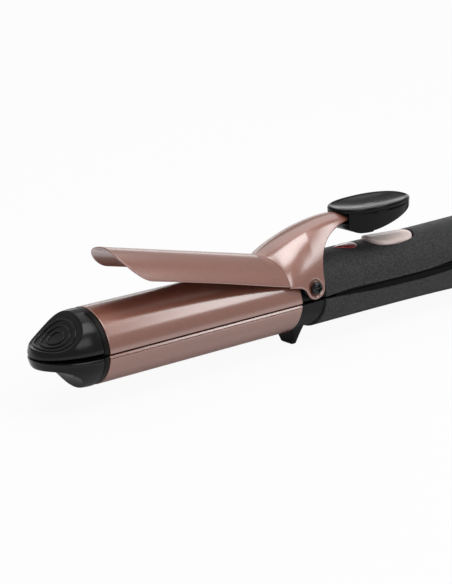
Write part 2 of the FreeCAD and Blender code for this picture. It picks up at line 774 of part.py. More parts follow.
def clip_lever():
    """The cast lever: a tent over the collar with two ears, a neck and a tongue for the thumb pad."""
    over = size("overrun")
    wide = ear_half_width + over
    front = lever_front - over
    side_x = seam_apex + seam_slope * wide
    low = seam_z - over
    plan = ((front, -wide), (side_x, -wide), (seam_apex, 0.0), (side_x, wide), (front, wide))
    seam = [FreeCAD.Vector(x, y, low) for x, y in plan]
    seat = Part.makeCylinder(ear_inner + size("blade_sheet"),
                             seam_apex - barrel_front + size("seam_lap") + size("seam_sweep"),
                             FreeCAD.Vector(barrel_front, 0, seam_z - size("seam_offset")),
                             FreeCAD.Vector(1, 0, 0))
    turning = Part.makeCylinder(size("ear_radius") + over / 2, 2 * ear_inner,
                                FreeCAD.Vector(pivot_x, -ear_inner, pivot_z), FreeCAD.Vector(0, 1, 0))
    shell = lever_solid(0.0, 0.0, 0.0)
    shell = shell.cut(lever_solid(size("lever_sheet"), over, over))
    before_seam = polygon_prism(seam, FreeCAD.Vector(0, 0, 2 * lever_high))
    for tool in (before_seam, seat, turning, lever_trim()):
        shell = shell.cut(tool)
    half = size("tongue_half_width")
    under = -size("pad_lid") - size("fit_gap") - size("tongue_thickness")
    tongue = Part.makeBox(size("tongue_lap") + over, 2 * half, size("tongue_thickness"),
                          FreeCAD.Vector(-size("pad_half_length") - over / 2, -half, under))
    tongue.Placement = pad_placement()
    shell = shell.fuse(tongue)
    for sign in (1, -1):
        across = FreeCAD.Vector(0, sign, 0)
        plate = Part.makeCylinder(size("ear_radius"), size("ear_plate"),
                                  FreeCAD.Vector(pivot_x, sign * ear_inner, pivot_z), across)
        floor = FreeCAD.Vector(pivot_x, sign * (ear_inner + size("ear_web")), pivot_z)
        recess = Part.makeCylinder(size("ear_recess_radius"), ear_half_width, floor, across)
        hole = Part.makeCylinder(size("pivot_shank") + size("pin_gap"), ear_half_width,
                                 FreeCAD.Vector(pivot_x, sign * (ear_inner - over), pivot_z), across)
        shell = shell.fuse(plate).cut(recess).cut(hole)
    screw = Part.makeCylinder(size("pad_screw_shank") + size("fit_gap") / 2, size("pad_depth"),
                              FreeCAD.Vector(-size("pad_screw_lead"), 0, -size("pad_depth")))
    screw.Placement = pad_placement()
    return solid_of(max(shell.cut(screw).Solids, key=lambda solid: solid.Volume))


def oval(half_length, half_width, low, high):
    """An upright elliptical prism in the thumb pad's frame."""
    face = Part.Face(Part.Wire(Part.Ellipse(FreeCAD.Vector(), half_length, half_width).toShape()))
    face.translate(FreeCAD.Vector(0, 0, low))
    return face.extrude(FreeCAD.Vector(0, 0, high - low))


def pad_screw_foot():
    """Where the pad screw's head ends, sunk a little in the keel above it."""
    radius = size("pad_keel_radius")
    run = size("pad_screw_lead") - size("pad_keel_lead")
    return radius - size("pad_depth") - math.sqrt(radius ** 2 - run ** 2) + size("pad_screw_sink")


def thumb_pad():
    """The thumb rest: a dished lid over a keeled body that swallows the lever's tongue."""
    length = size("pad_half_length")
    width = size("pad_half_width")
    lid = size("pad_lid")
    inset = size("pad_inset")
    over = size("overrun")
    top = oval(length, width, -lid, 0.0)
    rim = [edge for edge in top.Edges if abs(edge.CenterOfMass.z) < inset / 2 and edge.Closed]
    top = top.makeFillet(size("dish_margin") / 2, rim)
    hollow = FreeCAD.Matrix()
    hollow.scale(length - size("dish_margin"), width - size("dish_margin"), size("dish_depth"))
    bowl = Part.makeSphere(1.0).transformGeometry(hollow)
    keel_radius = size("pad_keel_radius")
    keel = Part.makeCylinder(keel_radius, 2 * width,
                             FreeCAD.Vector(-size("pad_keel_lead"), -width, keel_radius - size("pad_depth")),
                             FreeCAD.Vector(0, 1, 0))
    body = oval(length - inset, width - inset, -size("pad_depth"), -lid / 2).common(keel)
    half_slot = size("neck_half_width") + size("slot_gap")
    slot = Part.makeBox(length + over - size("pad_screw_lead") + size("tongue_half_width"), 2 * half_slot,
                        size("slot_depth") - lid,
                        FreeCAD.Vector(-length - over, -half_slot, -size("slot_depth")))
    lead = FreeCAD.Vector(-size("pad_screw_lead"), 0, -2 * size("pad_depth"))
    bore = Part.makeCylinder(size("pad_screw_shank") + size("fit_gap") / 2, 2 * size("pad_depth") - lid, lead)
    well = Part.makeCylinder(size("pad_screw_head") + size("fit_gap"),
                             pad_screw_foot() + size("pad_screw_head_height") - lead.z, lead)
    pad = top.cut(bowl).fuse(body).cut(slot).cut(bore).cut(well)
    pad.Placement = pad_placement()
    return solid_of(pad)


def thumb_pad_screw():
    """The screw that holds the pad to the tongue, sunk in the keel."""
    lead = -size("pad_screw_lead")
    foot = pad_screw_foot()
    seat = foot + size("pad_screw_head_height")
    head = Part.makeCylinder(size("pad_screw_head"), size("pad_screw_head_height"),
                             FreeCAD.Vector(lead, 0, foot))
    reach = -size("pad_lid") - size("fit_gap") - seat
    shank = Part.makeCylinder(size("pad_screw_shank"), reach, FreeCAD.Vector(lead, 0, seat))
    screw = head.fuse(shank)
    screw.Placement = pad_placement()
    return solid_of(screw)


# Handle.
def handle_half_width(share):
    """Half the handle's width along its length."""
    front = size("handle_front_half_width")
    return front + (size("handle_rear_half_width") - front) * share


def handle_height(side, share):
    """The handle's height over, or depth under, the seam plane along its length."""
    if side == UPPER:
        front, rear, power = size("handle_front_crown"), size("handle_rear_crown"), size("crown_power")
    else:
        front, rear, power = size("handle_front_belly"), size("axis_height"), size("belly_power")
    return front + (rear - front) * share ** power


def handle_loft(side, start, end, inset):
    """Half of the handle's body between two stations, drawn in by an inset."""
    unit = Part.Arc(FreeCAD.Vector(0, 1, 0), FreeCAD.Vector(0, 0, side), FreeCAD.Vector(0, -1, 0)).toShape()
    wires = []
    for part in HANDLE_STATION_SHARES:
        x = start + (end - start) * part
        share = min(max((x - handle_front) / size("handle_length"), 0.0), 1.0)
        wide = handle_half_width(share) - inset
        tall = handle_height(side, share) - inset
        stretch = FreeCAD.Matrix(1, 0, 0, x, 0, wide, 0, 0, 0, 0, tall, seam_z, 0, 0, 0, 1)
        arch = unit.transformGeometry(stretch)
        wires.append(Part.Wire([arch, Part.makeLine(FreeCAD.Vector(x, -wide, seam_z),
                                                    FreeCAD.Vector(x, wide, seam_z))]))
    return Part.makeLoft(wires, True, False)


def band_prism(side):
    """The room between the seam plane and a shell's swept edge."""
    name = f"band_{SIDE_NAMES[side]}"
    over = size("overrun")
    rises = (size("band_front"), size(f"{name}_middle"), size(f"{name}_rear"))
    edge = [FreeCAD.Vector(handle_front + size("handle_length") * share, 0, seam_z + side * rise)
            for share, rise in zip(BAND_STATION_SHARES, rises)]
    curve = Part.BSplineCurve()
    curve.interpolate(edge)
    corners = [edge[-1], FreeCAD.Vector(edge[-1].x, 0, seam_z - side * over),
               FreeCAD.Vector(edge[0].x - over, 0, seam_z - side * over),
               FreeCAD.Vector(edge[0].x - over, 0, edge[0].z), edge[0]]
    lines = [Part.makeLine(first, second) for first, second in zip(corners, corners[1:])]
    face = Part.Face(Part.Wire(Part.__sortEdges__([curve.toShape()] + lines)))
    half_width = size("handle_rear_half_width") + over
    face.translate(FreeCAD.Vector(0, -half_width, 0))
    return face.extrude(FreeCAD.Vector(0, 2 * half_width, 0))


def layer(side, start, end, low, high):
    """A wide slab between two distances from the seam plane and two stations."""
    wide = 2 * size("barrel_radius")
    base = seam_z + low if side == UPPER else seam_z - high
    return Part.makeBox(end - start, 2 * wide, high - low, FreeCAD.Vector(start, -wide, base))


def screw_posts(side):
    """The two posts in a shell that the liner's screws bite."""
    roof = handle_loft(side, handle_front, housing_front, size("handle_wall") / 2)
    floor = size("liner_gap") / 2 + size("tray_floor")
    posts = []
    for sign in (1, -1):
        foot = FreeCAD.Vector(screw_x, sign * size("screw_spread"), seam_z + side * floor)
        post = Part.makeCylinder(size("post_radius"), size("barrel_radius"), foot, FreeCAD.Vector(0, 0, side))
        bore = Part.makeCylinder(size("screw_shank"), size("screw_length"), foot, FreeCAD.Vector(0, 0, side))
        posts.append(post.common(roof).cut(bore))
    return posts


def lens_outline(gap):
    """The lens in plan: a round rear drawn out to a point in front."""
    radius = size("lens_radius") + gap
    tip = handle_front + size("lens_lead") - gap
    centre = tip + size("lens_length") + 2 * gap - radius
    reach = centre - tip
    lean = math.acos(radius / reach)
    upper = FreeCAD.Vector(centre - radius * math.cos(lean), radius * math.sin(lean), seam_z)
    lower = FreeCAD.Vector(upper.x, -upper.y, seam_z)
    point = FreeCAD.Vector(tip, 0, seam_z)
    round_end = Part.Arc(upper, FreeCAD.Vector(centre + radius, 0, seam_z), lower).toShape()
    edges = [Part.makeLine(point, upper), round_end, Part.makeLine(lower, point)]
    return Part.Face(Part.Wire(edges)).extrude(FreeCAD.Vector(0, 0, 2 * size("barrel_radius")))


def stadium(length, width, low, high, centre):
    """An upright prism with round ends."""
    radius = width / 2
    half = length / 2 - radius
    core = Part.makeBox(2 * half, width, high - low, FreeCAD.Vector(centre - half, -radius, low))
    for sign in (1, -1):
        core = core.fuse(Part.makeCylinder(radius, high - low, FreeCAD.Vector(centre + sign * half, 0, low)))
    return core.removeSplitter()


rocker_x = (handle_front + size("lens_lead") + size("lens_length") + size("rocker_spacing")
            + size("rocker_length") / 2)
rocker_z = seam_z + size("rocker_rise")


def upper_handle():
    """The upper grip shell, with the lens and rocker openings and a rear end cut back for the hinge."""
    over = size("overrun")
    shell = handle_loft(UPPER, handle_front, housing_front, 0.0)
    shell = shell.cut(handle_loft(UPPER, handle_front - over, housing_front + over, size("handle_wall")))
    shell = shell.cut(band_prism(UPPER))
    lean = math.tan(math.radians(size("arm_open_angle")))
    tall = 2 * size("barrel_radius")
    back = housing_front - size("housing_gap")
    low_x = back + lean * size("hinge_rise")
    high_x = low_x - lean * tall
    relief = [(low_x, seam_z - over), (low_x, seam_z), (high_x, seam_z + tall), (back + tall, seam_z + tall),
              (back + tall, seam_z - over)]
    shell = shell.cut(upright_prism(relief, tall))
    gap = size("rocker_gap")
    floor = seam_z + size("rocker_top") - 2 * size("rocker_depth")
    length = size("rocker_length") + 2 * gap
    well = stadium(length, size("rocker_width") + gap, floor, seam_z + tall, rocker_x)
    shell = shell.cut(lens_outline(size("lens_gap"))).cut(well)
    for post in screw_posts(UPPER):
        shell = shell.fuse(post)
    return solid_of(shell)


def lower_handle():
    """The lower grip shell, which closes into the round hinge housing at the rear."""
    over = size("overrun")
    wall = size("handle_wall")
    shell = handle_loft(LOWER, handle_front, handle_rear, 0.0)
    shell = shell.fuse(handle_loft(UPPER, housing_front, handle_rear, 0.0)).removeSplitter()
    rim = [edge for edge in shell.Edges if abs(edge.BoundBox.XMin - handle_rear) < size("fit_gap")]
    shell = shell.makeFillet(size("rear_round"), rim)
    room = handle_rear - size("rear_wall")
    shell = shell.cut(handle_loft(LOWER, handle_front - over, room, wall))
    shell = shell.cut(handle_loft(UPPER, housing_front - over, room, wall))
    mouth = layer(LOWER, handle_front, housing_front, 0.0, size("barrel_radius"))
    shell = shell.cut(band_prism(LOWER).common(mouth))
    pin = Part.makeCylinder(size("pin_radius") + size("fit_gap") / 2, 2 * size("pin_half_length"),
                            FreeCAD.Vector(hinge_x, -size("pin_half_length"), seam_z + size("hinge_rise")),
                            FreeCAD.Vector(0, 1, 0))
    outlet_start = FreeCAD.Vector(room - size("rear_wall") / 2, 0, seam_z)
    outlet = Part.makeCylinder(size("swivel_radius") + size("pin_gap"), 2 * size("rear_wall"), outlet_start,
                               FreeCAD.Vector(1, 0, 0))
    gap = size("running_gap")
    slot_width = size("lock_stem_width") + 2 * gap
    slot = Part.makeBox(size("lock_stem_length") + size("lock_travel") + 2 * gap, slot_width,
                        2 * size("barrel_radius"),
                        FreeCAD.Vector(lock_x - size("lock_travel") - gap, -slot_width / 2,
                                       seam_z + size("hinge_rise")))
    shell = shell.cut(pin).cut(outlet).cut(slot)
    for post in screw_posts(LOWER):
        shell = shell.fuse(post)
    return solid_of(shell)


lock_x = housing_front + size("lock_lead")


def liner(side):
    """The dark inner tray of an arm, whose edge shows as a band between the shells."""
    gap = size("liner_gap") / 2
    over = size("overrun")
    wall = size("handle_wall") + size("fit_gap")
    front = handle_front + size("tenon_length") + size("fit_gap")
    rear = housing_front - size("housing_gap")
    deep = size("barrel_radius")
    flange = handle_loft(side, handle_front, housing_front, size("band_inset")).common(band_prism(side))
    flange = flange.common(layer(side, front, rear, gap, deep))
    tray = handle_loft(side, handle_front, housing_front, wall)
    tray = tray.common(layer(side, front, rear, gap, size("tray_height")))
    pocket = handle_loft(side, handle_front, housing_front, wall + size("tray_wall"))
    room = layer(side, front + size("tray_wall"), rear - size("tray_wall"), gap + size("tray_floor"), deep)
    body = tray.fuse(flange).cut(pocket.common(room))
    up = FreeCAD.Vector(0, 0, side)
    for sign in (1, -1):
        foot = FreeCAD.Vector(screw_x, sign * size("screw_spread"), seam_z)
        hole = Part.makeCylinder(size("screw_shank") + size("fit_gap"), 2 * size("tray_floor"), foot, up)
        head_radius = size("screw_head_radius") + size("fit_gap")
        sink = Part.makeCylinder(head_radius, gap + size("screw_head"), foot, up)
        body = body.cut(hole).cut(sink)
    well = FreeCAD.Vector(hinge_x - size("spring_lead"), 0, seam_z)
    bore = size("spring_radius") + size("spring_wire") / 2 + 2 * size("running_gap")
    if side == LOWER:
        wall = size("spring_well_wall")
        tube = Part.makeCylinder(bore + wall, size("spring_well") + wall, well + up * gap, up)
        body = body.fuse(tube).cut(Part.makeCylinder(bore, size("spring_well") + gap, well, up))
        return solid_of(body)
    body = body.cut(Part.makeCylinder(bore, gap + size("spring_top"), well, up))
    board_x = handle_front + size("board_lead")
    inset = size("board_post_inset")
    for x in (board_x + inset, screw_x - size("board_rear_gap") - inset):
        for sign in (1, -1):
            y = sign * (size("board_width") / 2 - inset)
            body = body.fuse(Part.makeCylinder(size("board_post_radius"), size("board_rise") - gap,
                                               FreeCAD.Vector(x, y, seam_z + gap)))
    hinge_z = seam_z + size("hinge_rise")
    half = size("knuckle_half_width")
    root = hinge_x - size("tongue_root")
    arm = Part.makeBox(hinge_x - root, 2 * half, size("hinge_rise") + size("pin_radius") - size("tray_floor"),
                       FreeCAD.Vector(root, -half, seam_z + size("tray_floor")))
    knuckle = Part.makeCylinder(size("knuckle_radius"), 2 * half, FreeCAD.Vector(hinge_x, -half, hinge_z),
                                FreeCAD.Vector(0, 1, 0))
    eye = Part.makeCylinder(size("pin_radius") + size("pin_gap"), 2 * half + over,
                            FreeCAD.Vector(hinge_x, -half - over / 2, hinge_z), FreeCAD.Vector(0, 1, 0))
    return solid_of(body.fuse(arm).fuse(knuckle).cut(eye))


def liner_screws(side):
    """The two screws that hold a liner in its shell."""
    gap = size("liner_gap") / 2
    long = size("drive_length")
    wide = size("drive_width")
    deep = size("drive_depth")
    up = FreeCAD.Vector(0, 0, side)
    screws = []
    for sign in (1, -1):
        foot = FreeCAD.Vector(screw_x, sign * size("screw_spread"), seam_z + side * gap)
        screw = Part.makeCylinder(size("screw_head_radius"), size("screw_head"), foot, up)
        screw = screw.fuse(Part.makeCylinder(size("screw_shank"), size("screw_length"), foot, up))
        for length, width in ((long, wide), (wide, long)):
            corner = FreeCAD.Vector(length / 2, width / 2, 0 if side == UPPER else deep)
            screw = screw.cut(Part.makeBox(length, width, deep, foot - corner))
        screws.append(screw)
    return solid_of(Part.makeCompound(screws))


def hinge_pin():
    """The pin that the arms turn on."""
    return cross_rod(HINGE_X, HINGE_Z, "pin_radius", "pin_half_length - fit_gap")


def arm_spring():
    """The coil that springs the arms apart when they are let go."""
    gap = size("liner_gap") / 2
    wire = size("spring_wire")
    base = seam_z - gap - size("spring_well") + size("fit_gap") + wire / 2
    top = seam_z + gap + size("spring_top") - size("fit_gap") - wire / 2
    turns = size("spring_turns")
    wound = coil(size("spring_radius"), wire, (top - base) / turns, turns)
    wound.Placement = FreeCAD.Placement(FreeCAD.Vector(hinge_x - size("spring_lead"), 0, base), TURNS["z"])
    return solid_of(wound)


# Controls.
def indicator_lens():
    """The ready light's lens, a teardrop that stands a little proud of the shell."""
    skin = handle_loft(UPPER, handle_front, housing_front, -size("lens_proud"))
    core = handle_loft(UPPER, handle_front, housing_front, size("handle_wall"))
    return solid_of(lens_outline(0.0).common(skin).cut(core))


def indicator_led():
    """The lamp on the board under the lens."""
    x = f"{HANDLE_FRONT} + lens_lead + lens_length / 2"
    z = "axis_height + board_rise + board_thickness"
    return rod("z", x, "0", z, "led_radius", "led_top - board_rise - board_thickness")


def circuit_board():
    """The control board on the upper tray's posts."""
    return block(BOARD_X, BOARD_LENGTH, "board_width / 2", "axis_height + board_rise", "board_thickness")


def switch_body():
    """The mains switch on the board, with two lugs for the rocker's pin."""
    base = "(axis_height + board_rise + board_thickness)"
    case_x = f"{ROCKER_X} - switch_length / 2"
    case = block(case_x, "switch_length", "switch_width / 2", base, "switch_height")
    lugs = []
    for start in ("rocker_web / 2 + running_gap", "-rocker_web / 2 - running_gap - rocker_lug"):
        lugs.append(box(f"{ROCKER_X} - rocker_lug_length / 2", start, base, "rocker_lug_length", "rocker_lug",
                        f"{ROCKER_Z} - {base} + rocker_lug_rise"))
    bore = cross_rod(ROCKER_X, ROCKER_Z, "rocker_pin_radius + fit_gap / 2", "switch_width")
    return cut(join(case, *lugs), bore)


def rocker_pin():
    """The pin that the rocker tilts on."""
    return cross_rod(ROCKER_X, ROCKER_Z, "rocker_pin_radius", "rocker_web / 2 + running_gap + rocker_lug")


def rocker_button():
    """The oval rocker: hollow below, with a middle web on the pin; it rests tilted with its front up."""
    top = seam_z + size("rocker_top")
    low = top - size("rocker_depth")
    length = size("rocker_length")
    width = size("rocker_width")
    wall = size("rocker_wall")
    button = stadium(length, width, low, top, rocker_x)
    crown = Part.makeCylinder(size("barrel_radius"), 2 * length,
                              FreeCAD.Vector(rocker_x - length, 0, top - size("barrel_radius")),
                              FreeCAD.Vector(1, 0, 0))
    button = button.common(crown)
    button = button.cut(stadium(length - 2 * wall, width - 2 * wall, low - wall, top - wall, rocker_x))
    half = size("rocker_web") / 2
    web_low = rocker_z - size("rocker_web_drop")
    web = Part.makeBox(size("rocker_web_length"), 2 * half, top - wall / 2 - web_low,
                       FreeCAD.Vector(rocker_x - size("rocker_web_length") / 2, -half, web_low))
    eye = Part.makeCylinder(size("rocker_pin_radius") + size("pin_gap"), width,
                            FreeCAD.Vector(rocker_x, -width / 2, rocker_z), FreeCAD.Vector(0, 1, 0))
    return solid_of(button.fuse(web).cut(eye))


def terminal_block():
    """The mains terminal under the lower tray's floor."""
    floor = "(liner_gap / 2 + tray_floor)"
    back = f"{floor} + terminal_height"
    return slab(LOWER, TERMINAL_X, "terminal_length", "terminal_width / 2", floor, back)


def lock_slider():
    """The thumb slider on the hinge housing that locks the arms together."""
    gap = size("running_gap")
    skin = handle_loft(UPPER, housing_front, handle_rear, -gap - size("lock_height"))
    skin = skin.cut(handle_loft(UPPER, housing_front, handle_rear, -gap))
    middle = lock_x + size("lock_stem_length") / 2
    wide = size("lock_width")
    knob = skin.common(Part.makeBox(size("lock_length"), wide, 2 * size("barrel_radius"),
                                    FreeCAD.Vector(middle - size("lock_length") / 2, -wide / 2, seam_z)))
    under = handle_loft(UPPER, housing_front, handle_rear, size("handle_wall") + gap)
    below = size("handle_wall") + gap + size("lock_plate")
    under = under.cut(handle_loft(UPPER, housing_front, handle_rear, below))
    plate = under.common(Part.makeBox(size("lock_length") - size("lock_travel") / 2, wide,
                                      2 * size("barrel_radius"), FreeCAD.Vector(lock_x, -wide / 2, seam_z)))
    stem = Part.makeBox(size("lock_stem_length"), size("lock_stem_width"), 2 * size("barrel_radius"),
                        FreeCAD.Vector(lock_x, -size("lock_stem_width") / 2, seam_z))
    stem = stem.common(handle_loft(UPPER, housing_front, handle_rear, -gap - size("lock_height") / 2))
    stem = stem.cut(handle_loft(UPPER, housing_front, handle_rear,
                                size("handle_wall") + gap + size("lock_plate") / 2))
    return solid_of(knob.fuse(stem).fuse(plate))


def cord_swivel():
    """The turning outlet for the supply cord, flanged inside the rear wall."""
    flange_x = f"({HANDLE_REAR} - rear_wall - running_gap - swivel_flange_length)"
    bell_x = f"({HANDLE_REAR} + running_gap)"
    end_x = f"({bell_x} + swivel_bell_length)"
    flange = rod("x", flange_x, "0", "axis_height", "swivel_flange", "swivel_flange_length")
    stem = rod("x", flange_x, "0", "axis_height", "swivel_radius", f"{bell_x} - {flange_x} + running_gap")
    bell = bind(doc.addObject("Part::Cone"), Radius1="swivel_bell", Radius2="swivel_radius",
                Height="swivel_bell_length")
    bell.Placement = FreeCAD.Placement(FreeCAD.Vector(), TURNS["x"])
    place(bell, bell_x, "0", "axis_height")
    bore = rod("x", f"{flange_x} - overrun", "0", "axis_height", "swivel_bore",
               f"{end_x} - {flange_x} + 2 * overrun")
    return cut(join(flange, stem, bell), bore)


for side, name in SIDE_NAMES.items():
    node(f"{name}_barrel", barrel_shell(side))
    node(f"{name}_plate", straightening_plate(side))
    node(f"{name}_heater", heater(side))
    node(f"{name}_spreader", heat_spreader(side))
    node(f"{name}_nose_ring", nose_ring(side))
    node(f"{name}_nose", nose(side))
    node(f"{name}_liner", liner(side))
    node(f"{name}_screws", liner_screws(side))
node("upper_leads", leads(UPPER, BOARD_X))
node("lower_leads", leads(LOWER, TERMINAL_X))
node("upper_collar", upper_collar())
node("lower_collar", lower_collar())
node("upper_handle", upper_handle())
node("lower_handle", lower_handle())
node("hinge_pin", hinge_pin())
node("arm_spring", arm_spring())
node("terminal_block", terminal_block())
node("indicator_lens", indicator_lens())
node("indicator_led", indicator_led())
node("circuit_board", circuit_board())
node("switch_body", switch_body())
node("rocker_pin", rocker_pin())
node("thermal_fuse", thermal_fuse())
node("clip_springs", clip_springs())
node("pivot_screws", pivot_screws())
node("lock_slider", lock_slider())
node("cord_swivel", cord_swivel())
turned(node("rocker_button", rocker_button()), size("rocker_rest_angle"), rocker_x, rocker_z)
for label, make in (("clip_blade", clip_blade), ("clip_lever", clip_lever), ("thumb_pad", thumb_pad),
                    ("thumb_pad_screw", thumb_pad_screw)):
    turned(node(label, make()), size("clip_open_angle"), pivot_x, pivot_z)

doc.recompute()
for obj in doc.Objects:
    if "Invalid" in obj.State or "Error" in obj.State:
        raise RuntimeError(f"{obj.Label} did not build: {obj.State}")
for piece in nodes:
    if piece.Shape.isNull() or not piece.Shape.isValid():
        raise RuntimeError(f"{piece.Label} has no valid shape")
os.makedirs("parts", exist_ok=True)
for piece in nodes:
    piece.Shape.exportStep(f"parts/{piece.Label}.step")
    print(piece.Label, len(piece.Shape.Solids), round(piece.Shape.Volume, 1))
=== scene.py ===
"""Looks of a two-in-one hair styling iron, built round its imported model.

Every visible surface is worked out as whole arrays in metres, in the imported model's frame:
+X runs from the nose to the cord outlet, +Z is up, and the seam plane lies between the two arms.
"""

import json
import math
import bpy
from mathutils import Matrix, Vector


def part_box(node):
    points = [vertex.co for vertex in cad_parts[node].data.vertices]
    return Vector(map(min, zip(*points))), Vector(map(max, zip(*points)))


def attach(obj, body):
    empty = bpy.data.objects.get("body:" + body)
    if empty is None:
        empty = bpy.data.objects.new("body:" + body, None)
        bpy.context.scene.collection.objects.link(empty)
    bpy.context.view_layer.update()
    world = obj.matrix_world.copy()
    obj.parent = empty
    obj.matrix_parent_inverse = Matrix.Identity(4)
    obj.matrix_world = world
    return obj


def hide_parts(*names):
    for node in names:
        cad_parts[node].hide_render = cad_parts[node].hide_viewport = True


bl_info = {
    "name": "Styling Iron Looks",
    "version": (1, 0, 0),
    "blender": (4, 5, 0),
    "location": "View3D > Sidebar > Styling Iron",
    "description": "Builds the surfaces and finishes of a hair styling iron round its packed model",
    "category": "Object",
}

import bmesh
import bpy
import numpy as np
from bpy.props import FloatProperty, FloatVectorProperty, PointerProperty
from mathutils import Matrix, Vector

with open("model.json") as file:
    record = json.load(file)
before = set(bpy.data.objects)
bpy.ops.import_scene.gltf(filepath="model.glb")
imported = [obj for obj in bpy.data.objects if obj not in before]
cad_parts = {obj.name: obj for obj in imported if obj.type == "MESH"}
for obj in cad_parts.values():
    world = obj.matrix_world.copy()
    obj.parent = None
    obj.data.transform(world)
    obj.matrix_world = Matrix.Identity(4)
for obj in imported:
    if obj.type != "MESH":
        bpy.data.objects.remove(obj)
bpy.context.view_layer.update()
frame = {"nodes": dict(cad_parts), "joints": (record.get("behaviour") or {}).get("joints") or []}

MM = 0.001
MERGE = 0.5e-6  # points closer than this become one
FIT = 0.05 * MM  # gap between pieces that meet
FAR = 1.0  # a distance past every edge
QUARTER = np.pi / 2.0
UPPER, LOWER = 1, -1
SIDES = {UPPER: "upper", LOWER: "lower"}
JOINTS = {joint["name"]: joint for joint in frame["joints"]}


def corner(node, end, axis):
    """One coordinate of a node's lowest (0) or highest (1) corner."""
    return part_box(node)[end]["xyz".index(axis)]


def length(name, description, default):
    """A length property in metres."""
    return FloatProperty(name=name, description=description, default=default, unit="LENGTH", precision=5)


def tilt(name, description, degrees):
    """An angle property, given in degrees."""
    return FloatProperty(name=name, description=description, default=math.radians(degrees), subtype="ANGLE")


def colour(name, description, default):
    """A linear colour property."""
    return FloatVectorProperty(name=name, description=description, default=default, subtype="COLOR",
                               size=3, min=0.0, max=1.0)


class BarrelSizes(bpy.types.PropertyGroup):
    """The split barrel, its nose and its collar."""

    front: length("Front", "Front end of the barrel shells", corner("upper_barrel", 0, "x"))
    rear: length("Rear", "Rear end of the barrel shells", corner("upper_barrel", 1, "x"))
    seam: length("Seam", "Height of the seam plane", corner("upper_barrel", 0, "z") - 0.5 * MM)
    radius: length("Radius", "Radius of a barrel shell", 16.0 * MM)
    offset: length("Offset", "How far past the seam plane each half is struck from", 1.03 * MM)
    wall: length("Wall", "Wall of a barrel shell", 1.5 * MM)
    half_gap: length("Half gap", "Half the gap between the arms at the seam", 0.5 * MM)
    upper_lip: length("Upper lip", "How far over the seam the upper shell stops", 0.2 * MM)
    lip: length("Lip", "How far below the seam the lower shell stops", 1.6 * MM)
    edge: length("Edge", "Rounding of the shells' edges", 0.3 * MM)
    ring_width: length("Ring width", "Width of the dark ring at the barrel's mouth", 2.4 * MM)
    ring_step: length("Ring step", "How far the ring lies inside the barrel's surface", 0.15 * MM)
    nose_length: length("Nose length", "Length of the domed nose", 21.4 * MM)
    nose_gap: length("Nose gap", "Gap between the ring and the nose", 0.2 * MM)
    oval_middle: length("Oval middle", "Middle of the grip ovals along the dish", 8.0 * MM)
    oval_half_length: length("Oval half length", "Half length of the outer grip oval", 8.4 * MM)
    oval_half_width: length("Oval half width", "Half width of the outer grip oval", 9.4 * MM)
    ridge: length("Ridge", "Radius of the grip ovals' tubes", 0.5 * MM)
    dish_setback: length("Dish setback", "Axis of the finger dishes, in front of the ring", 18.35 * MM)
    dish_rise: length("Dish rise", "Axis of the finger dishes, from the seam plane", 18.0 * MM)
    dish_radius: length("Dish radius", "Radius of the finger dishes", 14.5 * MM)
    lower_dish: length("Lower dish", "How much shallower the lower dish is", 0.5 * MM)
    collar_radius: length("Collar radius", "Radius of the collar behind the barrel", 15.2 * MM)
    collar_rear: length("Collar rear", "Rear end of the collar", 7.0 * MM)


